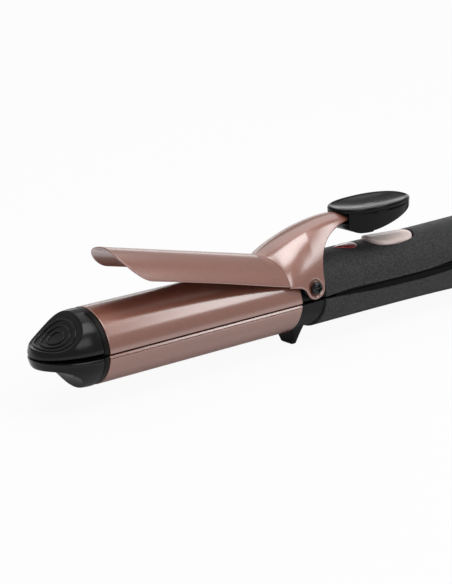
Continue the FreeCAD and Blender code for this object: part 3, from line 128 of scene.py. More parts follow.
class ClipSizes(bpy.types.PropertyGroup):
    """The clip: blade, lever and thumb pad, drawn closed and then turned open."""

    pivot_x: length("Pivot X", "Place of the clip's pivot along the iron", JOINTS["clip_pivot"]["pos_m"][0])
    pivot_z: length("Pivot Z", "Height of the clip's pivot", JOINTS["clip_pivot"]["pos_m"][2])
    opening: tilt("Opening", "Angle of the clip at rest from the closed barrel", 12.5)
    blade_gap: length("Blade gap", "Gap between the closed blade and the barrel", 0.2 * MM)
    blade_sheet: length("Blade sheet", "Thickness of the blade", 0.7 * MM)
    blade_lead: length("Blade lead", "Tip of the blade behind the barrel's front", 5.2 * MM)
    blade_edge: length("Blade edge", "Height of the closed blade's edges over the seam at its tip", 6.4 * MM)
    lever_edge: length("Lever edge", "Height of the closed clip's edges over the seam at the lever", 5.6 * MM)
    tip_half_width: length("Tip half width", "Half width of the straight tip", 5.0 * MM)
    corner_length: length("Corner length", "Length of the rounded tip corners", 14.1 * MM)
    seam_lead: length("Seam lead", "Peak of the seam between blade and lever, before the barrel's rear",
                      14.8 * MM)
    seam_sweep: length("Seam sweep", "How far the seam sweeps back at the sides", 8.0 * MM)
    seam_lap: length("Seam lap", "How far the blade reaches under the lever", 5.0 * MM)
    lever_length: length("Lever length", "Length of the lever's climb", 41.4 * MM)
    lever_low: length("Lever low", "Crown of the lever over the seam at its front", 16.2 * MM)
    lever_high: length("Lever high", "Crown of the lever over the seam at its neck", 35.3 * MM)
    tongue: length("Tongue", "How far behind the pivot the tongue in the pad ends", 28.5 * MM)
    ear_half_width: length("Ear half width", "Half the width across the ears", 17.9 * MM)
    neck_half_width: length("Neck half width", "Half the width of the neck", 6.2 * MM)
    ear_radius: length("Ear radius", "Radius of the ears", 4.77 * MM)
    ear_fillet: length("Ear fillet", "Radius of the hollow before each ear", 5.0 * MM)
    ear_inner: length("Ear inner", "Half the width between the ears", 16.35 * MM)
    ear_cup: length("Ear cup", "Radius of the cup round the screw", 4.1 * MM)
    ear_cup_depth: length("Ear cup depth", "Depth of the cup round the screw", 0.9 * MM)
    lever_sheet: length("Lever sheet", "Thickness of the lever", 1.7 * MM)
    rolled_edge: length("Rolled edge", "Thickness of the lever at its rear edge", 2.3 * MM)
    screw_radius: length("Screw radius", "Radius of the pivot screw's head", 2.6 * MM)
    screw_seat: length("Screw seat", "Distance of the screw's seat from the middle plane", 17.0 * MM)
    screw_height: length("Screw height", "Height of the pivot screw's head", 2.2 * MM)
    pad_x: length("Pad X", "Middle of the closed thumb pad's rim behind the pivot", 38.9 * MM)
    pad_z: length("Pad Z", "Middle of the closed thumb pad's rim over the pivot", 35.4 * MM)
    pad_pitch: tilt("Pad pitch", "Rise of the closed pad's rim to the rear", 13.5)
    pad_half_length: length("Pad half length", "Half the length of the thumb pad", 20.3 * MM)
    pad_half_width: length("Pad half width", "Half the width of the thumb pad", 11.8 * MM)
    pad_lid: length("Pad lid", "Height of the pad's lid", 1.9 * MM)
    pad_dish: length("Pad dish", "Depth of the dish in the lid", 1.5 * MM)
    pad_rim: length("Pad rim", "Width of the rolled rim round the dish", 1.8 * MM)
    pad_inset: length("Pad inset", "How far the pad's body lies inside its lid", 0.1 * MM)
    pad_depth: length("Pad depth", "Depth of the keel under the rim", 10.5 * MM)
    keel_lead: length("Keel lead", "Lowest point of the keel before the pad's middle", 9.5 * MM)
    notch_half_width: length("Notch half width", "Half the width of the notch for the neck", 6.5 * MM)
    notch_depth: length("Notch depth", "Length of the notch for the neck", 12.4 * MM)
    notch_floor: length("Notch floor", "Depth of the notch under the rim", 6.2 * MM)


class HandleSizes(bpy.types.PropertyGroup):
    """The two grip shells, the controls on them and the rear end."""

    front: length("Front", "Front end of the grip", corner("upper_handle", 0, "x"))
    rear: length("Rear", "Rear end of the grip", corner("lower_handle", 1, "x"))
    housing: length("Housing", "Length of the hinge housing", 21.5 * MM)
    housing_gap: length("Housing gap", "Gap before the hinge housing", 0.8 * MM)
    front_half_width: length("Front half width", "Half the grip's width at its front", 15.7 * MM)
    rear_half_width: length("Rear half width", "Half the grip's width at its rear", 16.0 * MM)
    front_crown: length("Front crown", "Height of the grip over the seam at its front", 14.8 * MM)
    rear_crown: length("Rear crown", "Height of the grip over the seam at its rear", 17.2 * MM)
    front_belly: length("Front belly", "Depth of the grip under the seam at its front", 15.1 * MM)
    rear_belly: length("Rear belly", "Depth of the grip under the seam at its rear", 21.0 * MM)
    wall: length("Wall", "Wall of the grip shells", 2.2 * MM)
    edge: length("Edge", "Rounding of the grip shells' edges", 0.5 * MM)
    rear_round: length("Rear round", "Rounding of the rear end", 6.0 * MM)
    outlet: length("Outlet", "Radius of the hole for the cord outlet", 4.45 * MM)
    lens_tip: length("Lens tip", "Point of the ready lamp's lens", corner("indicator_lens", 0, "x"))
    lens_length: length("Lens length", "Length of the lens", 12.2 * MM)
    lens_radius: length("Lens radius", "Radius of the lens's round end", 4.2 * MM)
    lens_proud: length("Lens proud", "How far the lens stands over the grip", 0.5 * MM)
    rocker_x: length("Rocker X", "Middle of the rocker along the iron", JOINTS["rocker_tilt"]["pos_m"][0])
    rocker_z: length("Rocker Z", "Height of the rocker's pin", JOINTS["rocker_tilt"]["pos_m"][2])
    rocker_length: length("Rocker length", "Length of the rocker", 24.8 * MM)
    rocker_width: length("Rocker width", "Width of the rocker", 14.4 * MM)
    rocker_top: length("Rocker top", "Top of the level rocker over the seam", 15.8 * MM)
    rocker_depth: length("Rocker depth", "Depth of the rocker's skirt", 4.0 * MM)
    rocker_gap: length("Rocker gap", "Gap round the rocker", 0.45 * MM)
    rocker_tilt: tilt("Rocker tilt", "Tilt of the rocker at rest", 3.0)
    lock_x: length("Lock X", "Middle of the lock slider",
                   (corner("lock_slider", 0, "x") + corner("lock_slider", 1, "x")) / 2)
    lock_half_length: length("Lock half length", "Half the length of the lock slider", 4.5 * MM)
    lock_half_width: length("Lock half width", "Half the width of the lock slider", 4.5 * MM)
    lock_height: length("Lock height", "Height of the lock slider", 1.8 * MM)
    lock_gap: length("Lock gap", "Gap under the lock slider", 0.3 * MM)


class FinishColours(bpy.types.PropertyGroup):
    """The colours of the finishes."""

    rose: colour("Rose", "Rose-gold coat", (0.345, 0.136, 0.094))
    rose_deep: colour("Rose deep", "Rose-gold coat between its flakes", (0.275, 0.1, 0.066))
    charcoal: colour("Charcoal", "Grip plastic", (0.027, 0.027, 0.0275))
    charcoal_fleck: colour("Charcoal fleck", "Flecks in the grip plastic", (0.062, 0.062, 0.063))
    black: colour("Black", "Polished and satin black plastic", (0.006, 0.006, 0.0062))
    red: colour("Red", "Lens of the ready lamp", (0.3, 0.035, 0.037))
    pale: colour("Pale rose", "Rocker", (0.9, 0.74, 0.7))
    steel: colour("Steel", "Plain steel", (0.5, 0.5, 0.51))
    paper: colour("Paper", "Floor", (0.9, 0.9, 0.9))
    room: colour("Room", "Walls of the room", (0.36, 0.36, 0.36))


class StageSizes(bpy.types.PropertyGroup):
    """The camera and the floor."""

    azimuth: tilt("Azimuth", "Bearing of the camera", -38.65)
    elevation: tilt("Elevation", "Height of the camera over the horizon", 16.25)
    roll: tilt("Roll", "Roll of the camera", -1.37)
    aim: FloatVectorProperty(name="Aim", description="Point in the middle of the picture",
                             default=(-0.03257, 0.0, 0.02827), subtype="TRANSLATION")
    distance: length("Distance", "Distance of the camera from its aim", 0.64499)
    lens: FloatProperty(name="Lens", description="Focal length of the camera in millimetres", default=99.71,
                        unit="CAMERA")
    floor: length("Floor", "Half the width of the floor", 6.0)


class StylingIronSettings(bpy.types.PropertyGroup):
    """All settings of the iron's looks."""

    barrel: PointerProperty(name="Barrel", description="Sizes of the barrel, its nose and its collar",
                            type=BarrelSizes)
    clip: PointerProperty(name="Clip", description="Sizes of the clip and its thumb pad",
                          type=ClipSizes)
    handle: PointerProperty(name="Handle", description="Sizes of the handle and its controls",
                            type=HandleSizes)
    finish: PointerProperty(name="Finish", description="Colours of the finishes",
                            type=FinishColours)
    stage: PointerProperty(name="Stage", description="Camera and floor",
                           type=StageSizes)


def settings():
    """The settings that the scene holds."""
    return bpy.context.scene.styling_iron


# Arrays.
def crowded(count, hold=0.9):
    """Shares from 0 to 1 that crowd at both ends: t - hold sin(2 pi t) / 2 pi."""
    t = np.linspace(0.0, 1.0, count)
    return t - hold * np.sin(2 * np.pi * t) / (2 * np.pi)


def crowded_start(count, power=1.8):
    """Shares from 0 to 1 that crowd at the start: t to a power."""
    return np.linspace(0.0, 1.0, count) ** power


def circle(count):
    """Angles in even steps round a full turn."""
    return np.linspace(0.0, 2.0 * np.pi, count, endpoint=False)


def quarter(count):
    """Angles in even steps through a quarter turn."""
    return np.linspace(0.0, QUARTER, count)


def crossed(rows, cols):
    """Two lists of values spread over a grid, the first down its rows and the second across its columns."""
    return np.meshgrid(rows, cols, indexing="ij")


def smooth_step(low, high, value):
    """A smooth rise from 0 to 1 between two values: 3 t^2 - 2 t^3."""
    t = np.clip((value - low) / (high - low), 0.0, 1.0)
    return t * t * (3.0 - 2.0 * t)


def mix(first, second, share):
    """A straight blend of two arrays."""
    return first + (second - first) * share


def stack(*coordinates):
    """Points from two or three arrays of coordinates."""
    return np.stack(np.broadcast_arrays(*coordinates), axis=-1)


def arc(radius, angle):
    """Points of an arc about the origin of its plane."""
    return stack(radius * np.cos(angle), radius * np.sin(angle))


def unit(vectors):
    """Vectors brought to length one."""
    return vectors / np.maximum(np.linalg.norm(vectors, axis=-1, keepdims=True), 1e-12)


def normals(points, inside):
    """Unit normals of a grid, from the cross product of its two differences, pointing away from inside."""
    across = np.cross(np.gradient(points, axis=0), np.gradient(points, axis=1))
    facing = np.sign(np.sum(across * (points - inside)))
    return unit(across) * facing


def turned(points, angle, x, z):
    """Points turned about a cross axis, x' = x cos + z sin and z' = z cos - x sin, about (x, z)."""
    dx, dz = points[..., 0] - x, points[..., 2] - z
    cos, sin = math.cos(angle), math.sin(angle)
    return stack(x + dx * cos + dz * sin, points[..., 1], z + dz * cos - dx * sin)


def power_curve(angle, power):
    """Cosine and sine bent to a superellipse: sign(c) |c|^(2 / power)."""
    return [np.sign(wave) * np.abs(wave) ** (2.0 / power) for wave in (np.cos(angle), np.sin(angle))]


def through(knots, share):
    """A smooth curve through knots: cubic Hermite pieces with slopes from the neighbours."""
    knots = np.asarray(knots, float)
    slopes = np.gradient(knots, axis=0)
    place = np.clip(share, 0.0, 1.0) * (len(knots) - 1)
    index = np.minimum(place.astype(int), len(knots) - 2)
    t = (place - index)[..., None]
    a, b, ma, mb = knots[index], knots[index + 1], slopes[index], slopes[index + 1]
    return ((2 * t ** 3 - 3 * t ** 2 + 1) * a + (t ** 3 - 2 * t ** 2 + t) * ma
            + (3 * t ** 2 - 2 * t ** 3) * b + (t ** 3 - t ** 2) * mb)


def even(points, count):
    """A polyline sampled at even steps of its length."""
    points = np.asarray(points, float)
    run = np.concatenate([[0.0], np.cumsum(np.linalg.norm(np.diff(points, axis=0), axis=1))])
    at = np.linspace(0.0, run[-1], count)
    return stack(*[np.interp(at, run, part) for part in points.T])


def sheet(outer, inward, thickness, edge, distance):
    """The two faces of a sheet. Near a free edge both curve to meet at its middle:
    half the thickness times sqrt(1 - (1 - distance / edge)^2)."""
    lift = np.sqrt(1.0 - (1.0 - np.clip(distance / edge, 0.0, 1.0)) ** 2)[..., None]
    half = np.asarray(thickness / 2.0)
    half = half[..., None] if half.ndim else half
    middle = outer + inward * half
    return middle - inward * half * lift, middle + inward * half * lift


def closed(points):
    """A grid whose columns close on themselves, as surface takes it."""
    return points, True, None


def capped(points):
    """A run of closed loops with each end drawn to a point at its middle."""
    ends = [np.broadcast_to(loop.mean(axis=0), loop.shape)[None] for loop in (points[0], points[-1])]
    return np.concatenate([ends[0], points, ends[1]])


# Meshes.
def grid_faces(shape, wrap, keep):
    """Corner numbers of a grid's faces; wrap closes the columns and keep says which cells stay."""
    rows, cols = shape
    r, c = crossed(np.arange(rows - 1), np.arange(cols if wrap else cols - 1))
    after = (c + 1) % cols
    faces = np.stack([r * cols + c, (r + 1) * cols + c, (r + 1) * cols + after, r * cols + after], axis=-1)
    return faces[keep] if keep is not None else faces.reshape(-1, 4)


def surface(name, finish, *grids, crease=38.0):
    """An object from grids: doubles merged, faces turned outward, smooth but for creases.
    A grid is its points, or a tuple of points, wrap and keep."""
    points, faces, start = [], [], 0
    for grid in grids:
        grid, wrap, keep = grid if isinstance(grid, tuple) else (grid, False, None)
        points.append(grid.reshape(-1, 3))
        faces.append(grid_faces(grid.shape[:2], wrap, keep) + start)
        start += len(points[-1])
    mesh = bpy.data.meshes.new(name)
    mesh.from_pydata(np.concatenate(points).tolist(), [], np.concatenate(faces).tolist())
    work = bmesh.new()
    work.from_mesh(mesh)
    bmesh.ops.remove_doubles(work, verts=work.verts, dist=MERGE)
    bmesh.ops.dissolve_degenerate(work, edges=work.edges, dist=MERGE)
    loose = [vertex for vertex in work.verts if not vertex.link_faces]
    bmesh.ops.delete(work, geom=loose, context="VERTS")
    bmesh.ops.recalc_face_normals(work, faces=work.faces)
    work.to_mesh(mesh)
    work.free()
    mesh.shade_smooth()
    mesh.set_sharp_from_angle(angle=math.radians(crease))
    obj = bpy.data.objects.new(name, mesh)
    bpy.context.scene.collection.objects.link(obj)
    mesh.materials.append(finish)
    return obj


def make_piece(name, finish, body, node, slot, *grids, crease=38.0):
    """A surface that rides on a body, in a node's place; its slot is not used."""
    piece = surface(name, finish_named(finish), *grids, crease=crease)
    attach(piece, body)
    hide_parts(node)


# Finishes.
class Tree:
    """A node tree under construction."""

    def __init__(self, tree):
        self.nodes, self.links = tree.nodes, tree.links

    def feed(self, socket, value):
        """Give a socket a number, or link an output to it."""
        if isinstance(value, (int, float)):
            socket.default_value = value
        else:
            self.links.new(value, socket)

    def compute(self, operation, first, second):
        """A math node; each operand is an output or a number."""
        node = self.nodes.new("ShaderNodeMath")
        node.operation = operation
        self.feed(node.inputs[0], first)
        self.feed(node.inputs[1], second)
        return node.outputs[0]

    def textured(self, kind, **values):
        """A texture node on Object coordinates."""
        where = self.nodes.new("ShaderNodeTexCoord")
        node = self.nodes.new(kind)
        self.links.new(where.outputs["Object"], node.inputs["Vector"])
        for label, value in values.items():
            self.feed(node.inputs[label], value)
        return node.outputs

    def noise(self, scale, detail, roughness):
        """Noise on Object coordinates."""
        return self.textured("ShaderNodeTexNoise", Scale=scale, Detail=detail, Roughness=roughness)["Fac"]

    def ramp(self, value, low, high):
        """A value spread from low..high to 0..1."""
        node = self.nodes.new("ShaderNodeMapRange")
        node.interpolation_type = "SMOOTHSTEP"
        for label, number in (("Value", value), ("From Min", low), ("From Max", high)):
            self.feed(node.inputs[label], number)
        return node.outputs["Result"]


class SharedGroup(Tree):
    """A shader group with named number sockets."""

    def __init__(self, name, inputs, outputs):
        self.tree = bpy.data.node_groups.new(name, "ShaderNodeTree")
        super().__init__(self.tree)
        for label, default in inputs.items():
            socket = self.tree.interface.new_socket(label, in_out="INPUT", socket_type="NodeSocketFloat")
            socket.default_value = default
        for label in outputs:
            self.tree.interface.new_socket(label, in_out="OUTPUT", socket_type="NodeSocketFloat")
        self.source = self.nodes.new("NodeGroupInput").outputs
        self.sink = self.nodes.new("NodeGroupOutput").inputs


def flake_group():
    """Metal flakes in a coat: cells of a Voronoi pattern, each with its own brightness, over slow clouds."""
    group = SharedGroup("metal_flake", {"Scale": 3200.0}, ("Flake", "Height"))
    cells = group.textured("ShaderNodeTexVoronoi", Scale=group.source["Scale"])
    split = group.nodes.new("ShaderNodeSeparateColor")
    group.feed(split.inputs["Color"], cells["Color"])
    cell_share = 0.75
    clouds = group.compute("MULTIPLY", group.noise(scale=60.0, detail=3.0, roughness=0.55), 1.0 - cell_share)
    flake = group.compute("MULTIPLY", split.outputs["Red"], cell_share)
    group.feed(group.sink["Flake"], group.compute("ADD", flake, clouds))
    group.feed(group.sink["Height"], split.outputs["Green"])
    return group.tree


def mottle_group():
    """Soft clouds between two values, for the uneven gloss of handled plastic and metal."""
    group = SharedGroup("soft_mottle", {"Scale": 120.0, "Low": 0.2, "High": 0.3}, ("Value",))
    low, high = group.source["Low"], group.source["High"]
    clouds = group.ramp(group.noise(group.source["Scale"], detail=5.0, roughness=0.6), 0.3, 0.7)
    rise = group.compute("MULTIPLY", clouds, group.compute("SUBTRACT", high, low))
    group.feed(group.sink["Value"], group.compute("ADD", low, rise))
    return group.tree


def grain_group():
    """Spark-eroded plastic: fine noise as height, and flecks where a second, coarser noise peaks."""
    group = SharedGroup("fine_grain", {"Scale": 2600.0}, ("Fleck", "Height"))
    fine = group.noise(group.source["Scale"], detail=2.0, roughness=0.6)
    coarse = group.noise(group.compute("MULTIPLY", group.source["Scale"], 0.6), detail=2.0, roughness=0.7)
    group.feed(group.sink["Fleck"], group.ramp(coarse, 0.38, 0.66))
    group.feed(group.sink["Height"], fine)
    return group.tree


GROUPS = {"metal_flake": flake_group, "soft_mottle": mottle_group, "fine_grain": grain_group}


class Finish(Tree):
    """A material under construction, with plain values on its shader's sockets."""

    def __init__(self, **numbers):
        self.material = bpy.data.materials.new("finish")
        self.material.use_nodes = True
        super().__init__(self.material.node_tree)
        self.shader = self.nodes["Principled BSDF"].inputs
        for label, number in numbers.items():
            self.shader[label.replace("_", " ")].default_value = number

    def group(self, name, **numbers):
        """Place a shared group with its own values."""
        node = self.nodes.new("ShaderNodeGroup")
        node.node_tree = bpy.data.node_groups.get(name) or GROUPS[name]()
        for label, number in numbers.items():
            node.inputs[label].default_value = number
        return node.outputs

    def blend(self, share, first, second):
        """Feed the base colour with two colours blended by a mask."""
        node = self.nodes.new("ShaderNodeMix")
        node.data_type = "RGBA"
        node.inputs["A"].default_value = (*first, 1.0)
        node.inputs["B"].default_value = (*second, 1.0)
        self.feed(node.inputs["Factor"], share)
        self.feed(self.shader["Base Color"], node.outputs["Result"])

    def gloss(self, scale, low, high):
        """Uneven roughness between two values."""
        self.feed(self.shader["Roughness"], self.group("soft_mottle", Scale=scale, Low=low, High=high)["Value"])

    def bump(self, height, strength, distance):
        """Fine relief on the shader's normal."""
        node = self.nodes.new("ShaderNodeBump")
        node.inputs["Strength"].default_value = strength
        node.inputs["Distance"].default_value = distance
        self.feed(node.inputs["Height"], height)
        self.feed(self.shader["Normal"], node.outputs["Normal"])


def shaded(tint, share):
    """A colour made darker or brighter."""
    return [share * part for part in tint]


def rose_finish(shine):
    """Rose-gold: a clear coat over a part-metallic base, with flakes that vary its tint and a fine relief."""
    tints = settings().finish
    finish = Finish(Metallic=0.5, Specular_IOR_Level=0.2, Coat_Weight=1.0, Coat_IOR=2.3, Coat_Roughness=shine)
    flake = finish.group("metal_flake", Scale=4200.0)
    finish.blend(flake["Flake"], tints.rose_deep, tints.rose)
    finish.gloss(scale=90.0, low=0.5, high=0.54)
    finish.bump(flake["Height"], strength=0.12, distance=0.04 * MM)
    return finish.material


def black_finish(low, high, shine, relief):
    """Black plastic: tint and gloss vary softly, over a faint moulding grain."""
    tint = settings().finish.black
    finish = Finish(Specular_IOR_Level=shine)
    grain = finish.group("fine_grain", Scale=1800.0)
    finish.blend(grain["Fleck"], tint, shaded(tint, 1.25))
    finish.gloss(140.0, low, high)
    finish.bump(grain["Height"], relief, distance=0.03 * MM)
    return finish.material


def charcoal_finish():
    """Charcoal grip plastic with flecks and a spark-eroded grain."""
    tints = settings().finish
    finish = Finish(Specular_IOR_Level=0.15)
    grain = finish.group("fine_grain", Scale=2600.0)
    finish.blend(grain["Fleck"], tints.charcoal, tints.charcoal_fleck)
    finish.gloss(scale=200.0, low=0.42, high=0.55)
    finish.bump(grain["Height"], strength=0.35, distance=0.06 * MM)
    return finish.material


def cloudy_finish(tint, low, high, shades=(0.75, 1.0), scale=180.0, gloss_scale=240.0, **numbers):
    """A tint between two shades in soft clouds, with uneven gloss and plain values for the shader."""
    finish = Finish(**numbers)
    clouds = finish.group("soft_mottle", Scale=scale, Low=0.0, High=1.0)
    finish.blend(clouds["Value"], *[shaded(tint, share) for share in shades])
    finish.gloss(gloss_scale, low, high)
    return finish.material


def lens_finish():
    """Red lens: deep colour under a clear coat, brighter in the clouds of its moulding."""
    return cloudy_finish(settings().finish.red, 0.24, 0.32, (1.0, 1.5), 160.0, 100.0, IOR=1.49,
                         Specular_IOR_Level=0.5, Subsurface_Weight=0.15, Coat_Weight=1.0, Coat_IOR=1.7,
                         Coat_Roughness=0.12)


def rocker_finish():
    """Pale rose rocker: pearly gloss plastic with faint clouds."""
    return cloudy_finish(settings().finish.pale, 0.2, 0.32, (0.88, 1.0), 220.0, 120.0, Specular_IOR_Level=0.3)


MAKERS = {
    "rose_satin": lambda: rose_finish(shine=0.18),
    "rose_gloss": lambda: rose_finish(shine=0.19),
    "charcoal": charcoal_finish,
    "gloss_black": lambda: black_finish(low=0.16, high=0.24, shine=0.28, relief=0.03),
    "pad_black": lambda: black_finish(low=0.14, high=0.2, shine=0.12, relief=0.02),
    "satin_black": lambda: black_finish(low=0.32, high=0.42, shine=0.16, relief=0.12),
    "band_black": lambda: black_finish(low=0.2, high=0.3, shine=0.03, relief=0.02),
    "black_screw": lambda: cloudy_finish((0.012, 0.012, 0.0125), 0.12, 0.2, Metallic=0.3),
    "red_lens": lens_finish,
    "pale_rose": rocker_finish,
    "steel": lambda: cloudy_finish(settings().finish.steel, 0.25, 0.4, Metallic=1.0),
    "brass": lambda: cloudy_finish((0.6, 0.43, 0.18), 0.25, 0.4, Metallic=1.0),
    "aluminium": lambda: cloudy_finish((0.72, 0.72, 0.74), 0.35, 0.5, Metallic=1.0),
    "ceramic": lambda: cloudy_finish((0.75, 0.73, 0.68), 0.5, 0.65),
    "board": lambda: cloudy_finish((0.03, 0.2, 0.08), 0.3, 0.45),
    "moulding": lambda: cloudy_finish((0.06, 0.06, 0.062), 0.4, 0.55),
    "lamp": lambda: cloudy_finish((0.8, 0.25, 0.2), 0.1, 0.2),
}


def finish_named(name):
    """A finish, made on its first use."""
    label = f"{name}_finish"
    if label not in bpy.data.materials:
        MAKERS[name]().name = label
    return bpy.data.materials[label]


# Barrel.
SLEEVE_WALL = 3.0 * MM
OVAL_SHARES = (1.0, 0.7, 0.4)
BEVEL = ((0.62, 0.5), (0.57, 0.5), (0.54, 0.52), (0.52, 0.545), (0.08, 1.08), (0.05, 1.115),
         (0.01, 1.2), (0.0, 1.3), (0.03, 1.4), (0.12, 1.47), (0.3, 1.5), (0.6, 1.5))


def half_shell(side, start, end, radius, wall, near, edge, rows=64, cols=96):
    """Half a tube: (x, R sin a, centre + R cos a) for angles whose edges stop short of the seam plane."""
    barrel = settings().barrel
    reach = math.acos((near + barrel.offset) / radius)
    x, a = crossed(mix(start, end, crowded(rows)), reach * (2.0 * crowded(cols) - 1.0))
    radial = stack(0.0, np.sin(a), side * np.cos(a))
    centre = stack(x, 0.0, barrel.seam - side * barrel.offset)
    distance = np.minimum(np.minimum(x - start, end - x), radius * (reach - np.abs(a)))
    return sheet(centre + radius * radial, -radial, wall, edge, distance)


def nose_section(radius, near, offset, angle):
    """A dome's section round its middle, as y and height: the soft lesser of an arc and its chord."""
    power = 12.0
    half = np.maximum((radius - offset - near) / 2.0, 1e-9)
    lift = near + half + offset
    arc = -lift * np.sin(angle) + np.sqrt(np.maximum(radius ** 2 - (lift * np.cos(angle)) ** 2, 1e-18))
    chord = half / np.maximum(-np.sin(angle), 1e-3)
    reach = (arc ** -power + chord ** -power) ** (-1.0 / power)
    return reach * np.cos(angle), near + half + reach * np.sin(angle)


def nose_heights(side, x):
    """Along the nose: the radius of its ellipsoid, and the height of the cross cylinder that dishes it."""
    barrel = settings().barrel
    ring = barrel.front - barrel.ring_width
    share = np.clip((ring - barrel.nose_gap - x) / barrel.nose_length, 0.0, 1.0)
    rise = barrel.dish_rise + (0.0 if side == UPPER else barrel.lower_dish)
    run = x - ring + barrel.dish_setback
    return (barrel.radius * np.sqrt(1.0 - share ** 2),
            rise - np.sqrt(np.maximum(barrel.dish_radius ** 2 - run ** 2, 0.0)))


def soft_least(first, second):
    """The soft lesser of two heights: (a + b - sqrt((a - b)^2 + k^2)) / 2."""
    blend = 0.3 * MM
    return 0.5 * (first + second - np.sqrt((first - second) ** 2 + blend ** 2))


def nose_dome(side, rows=150, cols=260):
    """Half an ellipsoid, x = front - L sin u with radius R cos u, closed flat at the seam and dished."""
    barrel = settings().barrel
    last = math.acos((barrel.half_gap + barrel.offset) / barrel.radius)
    u, angle = crossed(np.linspace(0.0, last, rows), circle(cols))
    x = barrel.front - barrel.ring_width - barrel.nose_gap - barrel.nose_length * np.sin(u)
    radius, dish = nose_heights(side, x)
    y, z = nose_section(radius, barrel.half_gap, barrel.offset, angle)
    return capped(stack(x, y, barrel.seam + side * soft_least(z, dish)))


def grip_ovals(cols=180, sides=16):
    """Raised ovals in the upper dish: ellipses on the unrolled cross cylinder, laid on it as thin tubes."""
    barrel = settings().barrel
    angle = circle(cols)
    turn = circle(sides)[None, :, None]
    axis = barrel.front - barrel.ring_width - barrel.dish_setback
    tubes = []
    for share in OVAL_SHARES:
        bend = (barrel.oval_middle + share * barrel.oval_half_length * np.cos(angle)) / barrel.dish_radius
        path = stack(axis + barrel.dish_radius * np.sin(bend), share * barrel.oval_half_width * np.sin(angle),
                     barrel.seam + barrel.dish_rise - barrel.dish_radius * np.cos(bend))
        lift = stack(-np.sin(bend), 0.0, np.cos(bend))
        out = unit(np.cross(np.roll(path, -1, axis=0) - np.roll(path, 1, axis=0), lift))
        tube = path[:, None] + barrel.ridge * (np.cos(turn) * out[:, None] + np.sin(turn) * lift[:, None])
        tubes.append(closed(np.concatenate([tube, tube[:1]])))
    return tubes


def plate_slab(rows=30):
    """The lower plate: a closed profile carried along x. Its bevelled edges are pairs, in millimetres, of the
    depth from the plate's side and the drop under the seam."""
    barrel = settings().barrel
    depth, drop = np.array(BEVEL).T * MM
    across = math.sqrt(barrel.radius ** 2 - (barrel.lip + barrel.offset) ** 2) - depth
    x = np.linspace(corner("lower_plate", 0, "x"), corner("lower_plate", 1, "x"), rows)[:, None]
    return capped(stack(x, np.concatenate([across, -across[::-1]]),
                        barrel.seam - np.concatenate([drop, drop[::-1]])))


class MakeBarrel(bpy.types.Operator):
    """Build the barrel shells and the lower plate"""

    bl_idname = "styling_iron.barrel"
    bl_label = "Barrel"

    def execute(self, context):
        barrel = settings().barrel
        for side, name in SIDES.items():
            near = barrel.upper_lip if side == UPPER else barrel.lip
            faces = half_shell(side, barrel.front, barrel.rear, barrel.radius, barrel.wall, near, barrel.edge)
            make_piece(f"{name}_barrel_shell", "rose_satin", f"{name}_arm", f"{name}_barrel", "rose_coat",
                       *faces)
        make_piece("lower_plate_slab", "rose_satin", "lower_arm", "lower_plate", "rose_coat",
                   closed(plate_slab()))
        return {"FINISHED"}


class MakeNose(bpy.types.Operator):
    """Build the dished nose, its grip ovals and the ring behind it"""

    bl_idname = "styling_iron.nose"
    bl_label = "Nose"

    def execute(self, context):
        barrel = settings().barrel
        for side, name in SIDES.items():
            ovals = grip_ovals() if side == UPPER else []
            make_piece(f"{name}_nose_dome", "gloss_black", f"{name}_arm", f"{name}_nose", "gloss_black",
                       closed(nose_dome(side)), *ovals)
            faces = half_shell(side, barrel.front - barrel.ring_width, barrel.front - FIT,
                               barrel.radius - barrel.ring_step, SLEEVE_WALL, barrel.half_gap, barrel.edge,
                               rows=24)
            make_piece(f"{name}_ring", "satin_black", f"{name}_arm", f"{name}_nose_ring", "satin_black",
                       *faces)
        return {"FINISHED"}


def foot_wedge(rows=24, cols=64):
    """The stand foot: superellipse sections from a small rounded sole to a wide root inside the collar.
    Their length widens with share^1.6 and their width evenly."""
    barrel = settings().barrel
    taper, sink, rounding = 1.6, 2.6 * MM, 0.5 * MM
    root_rear, sole_half_length, sole_half_width, root_half_width = 3.0 * MM, 1.25 * MM, 3.5 * MM, 8.0 * MM
    root = barrel.seam + barrel.offset - barrel.collar_radius + sink
    share, angle = crossed(crowded_start(rows, taper), circle(cols))
    across, along = power_curve(angle, 7.0)
    inset = rounding * (1.0 - np.sqrt(1.0 - (1.0 - np.clip(share * root / rounding, 0.0, 1.0)) ** 2))
    flare = share ** taper
    middle = mix(0.0, (barrel.rear + root_rear) / 2.0, flare)
    half_length = mix(sole_half_length, (root_rear - barrel.rear) / 2.0, flare) - inset
    half_width = mix(sole_half_width, root_half_width, share) - inset
    return capped(stack(middle + half_length * along, half_width * across, root * share))


def collar_lid(side, rows=8):
    """A flat web, short of the seam plane, from a collar half to its liner: rounded box sections along x."""
    barrel = settings().barrel
    half_width, near, far = 13.0 * MM, 0.8 * MM, 1.8 * MM
    x = np.linspace(barrel.rear + 0.4 * MM, corner(f"{SIDES[side]}_liner", 0, "x") - 0.2 * MM, rows)
    levels = sorted(barrel.seam + side * level for level in (near, far))
    return pad_block(x, -half_width, half_width, *levels)


class MakeCollar(bpy.types.Operator):
    """Build the collar halves and the stand foot"""

    bl_idname = "styling_iron.collar"
    bl_label = "Collar and foot"

    def execute(self, context):
        barrel = settings().barrel
        for side, name in SIDES.items():
            faces = half_shell(side, barrel.rear + FIT, barrel.collar_rear, barrel.collar_radius, SLEEVE_WALL,
                               barrel.half_gap, edge=0.35 * MM, rows=40)
            grids = [*faces, closed(collar_lid(side))]
            if side == LOWER:
                grids.append(closed(foot_wedge()))
            make_piece(f"{name}_sleeve", "satin_black", f"{name}_arm", f"{name}_collar", "satin_black",
                       *grids)
        return {"FINISHED"}


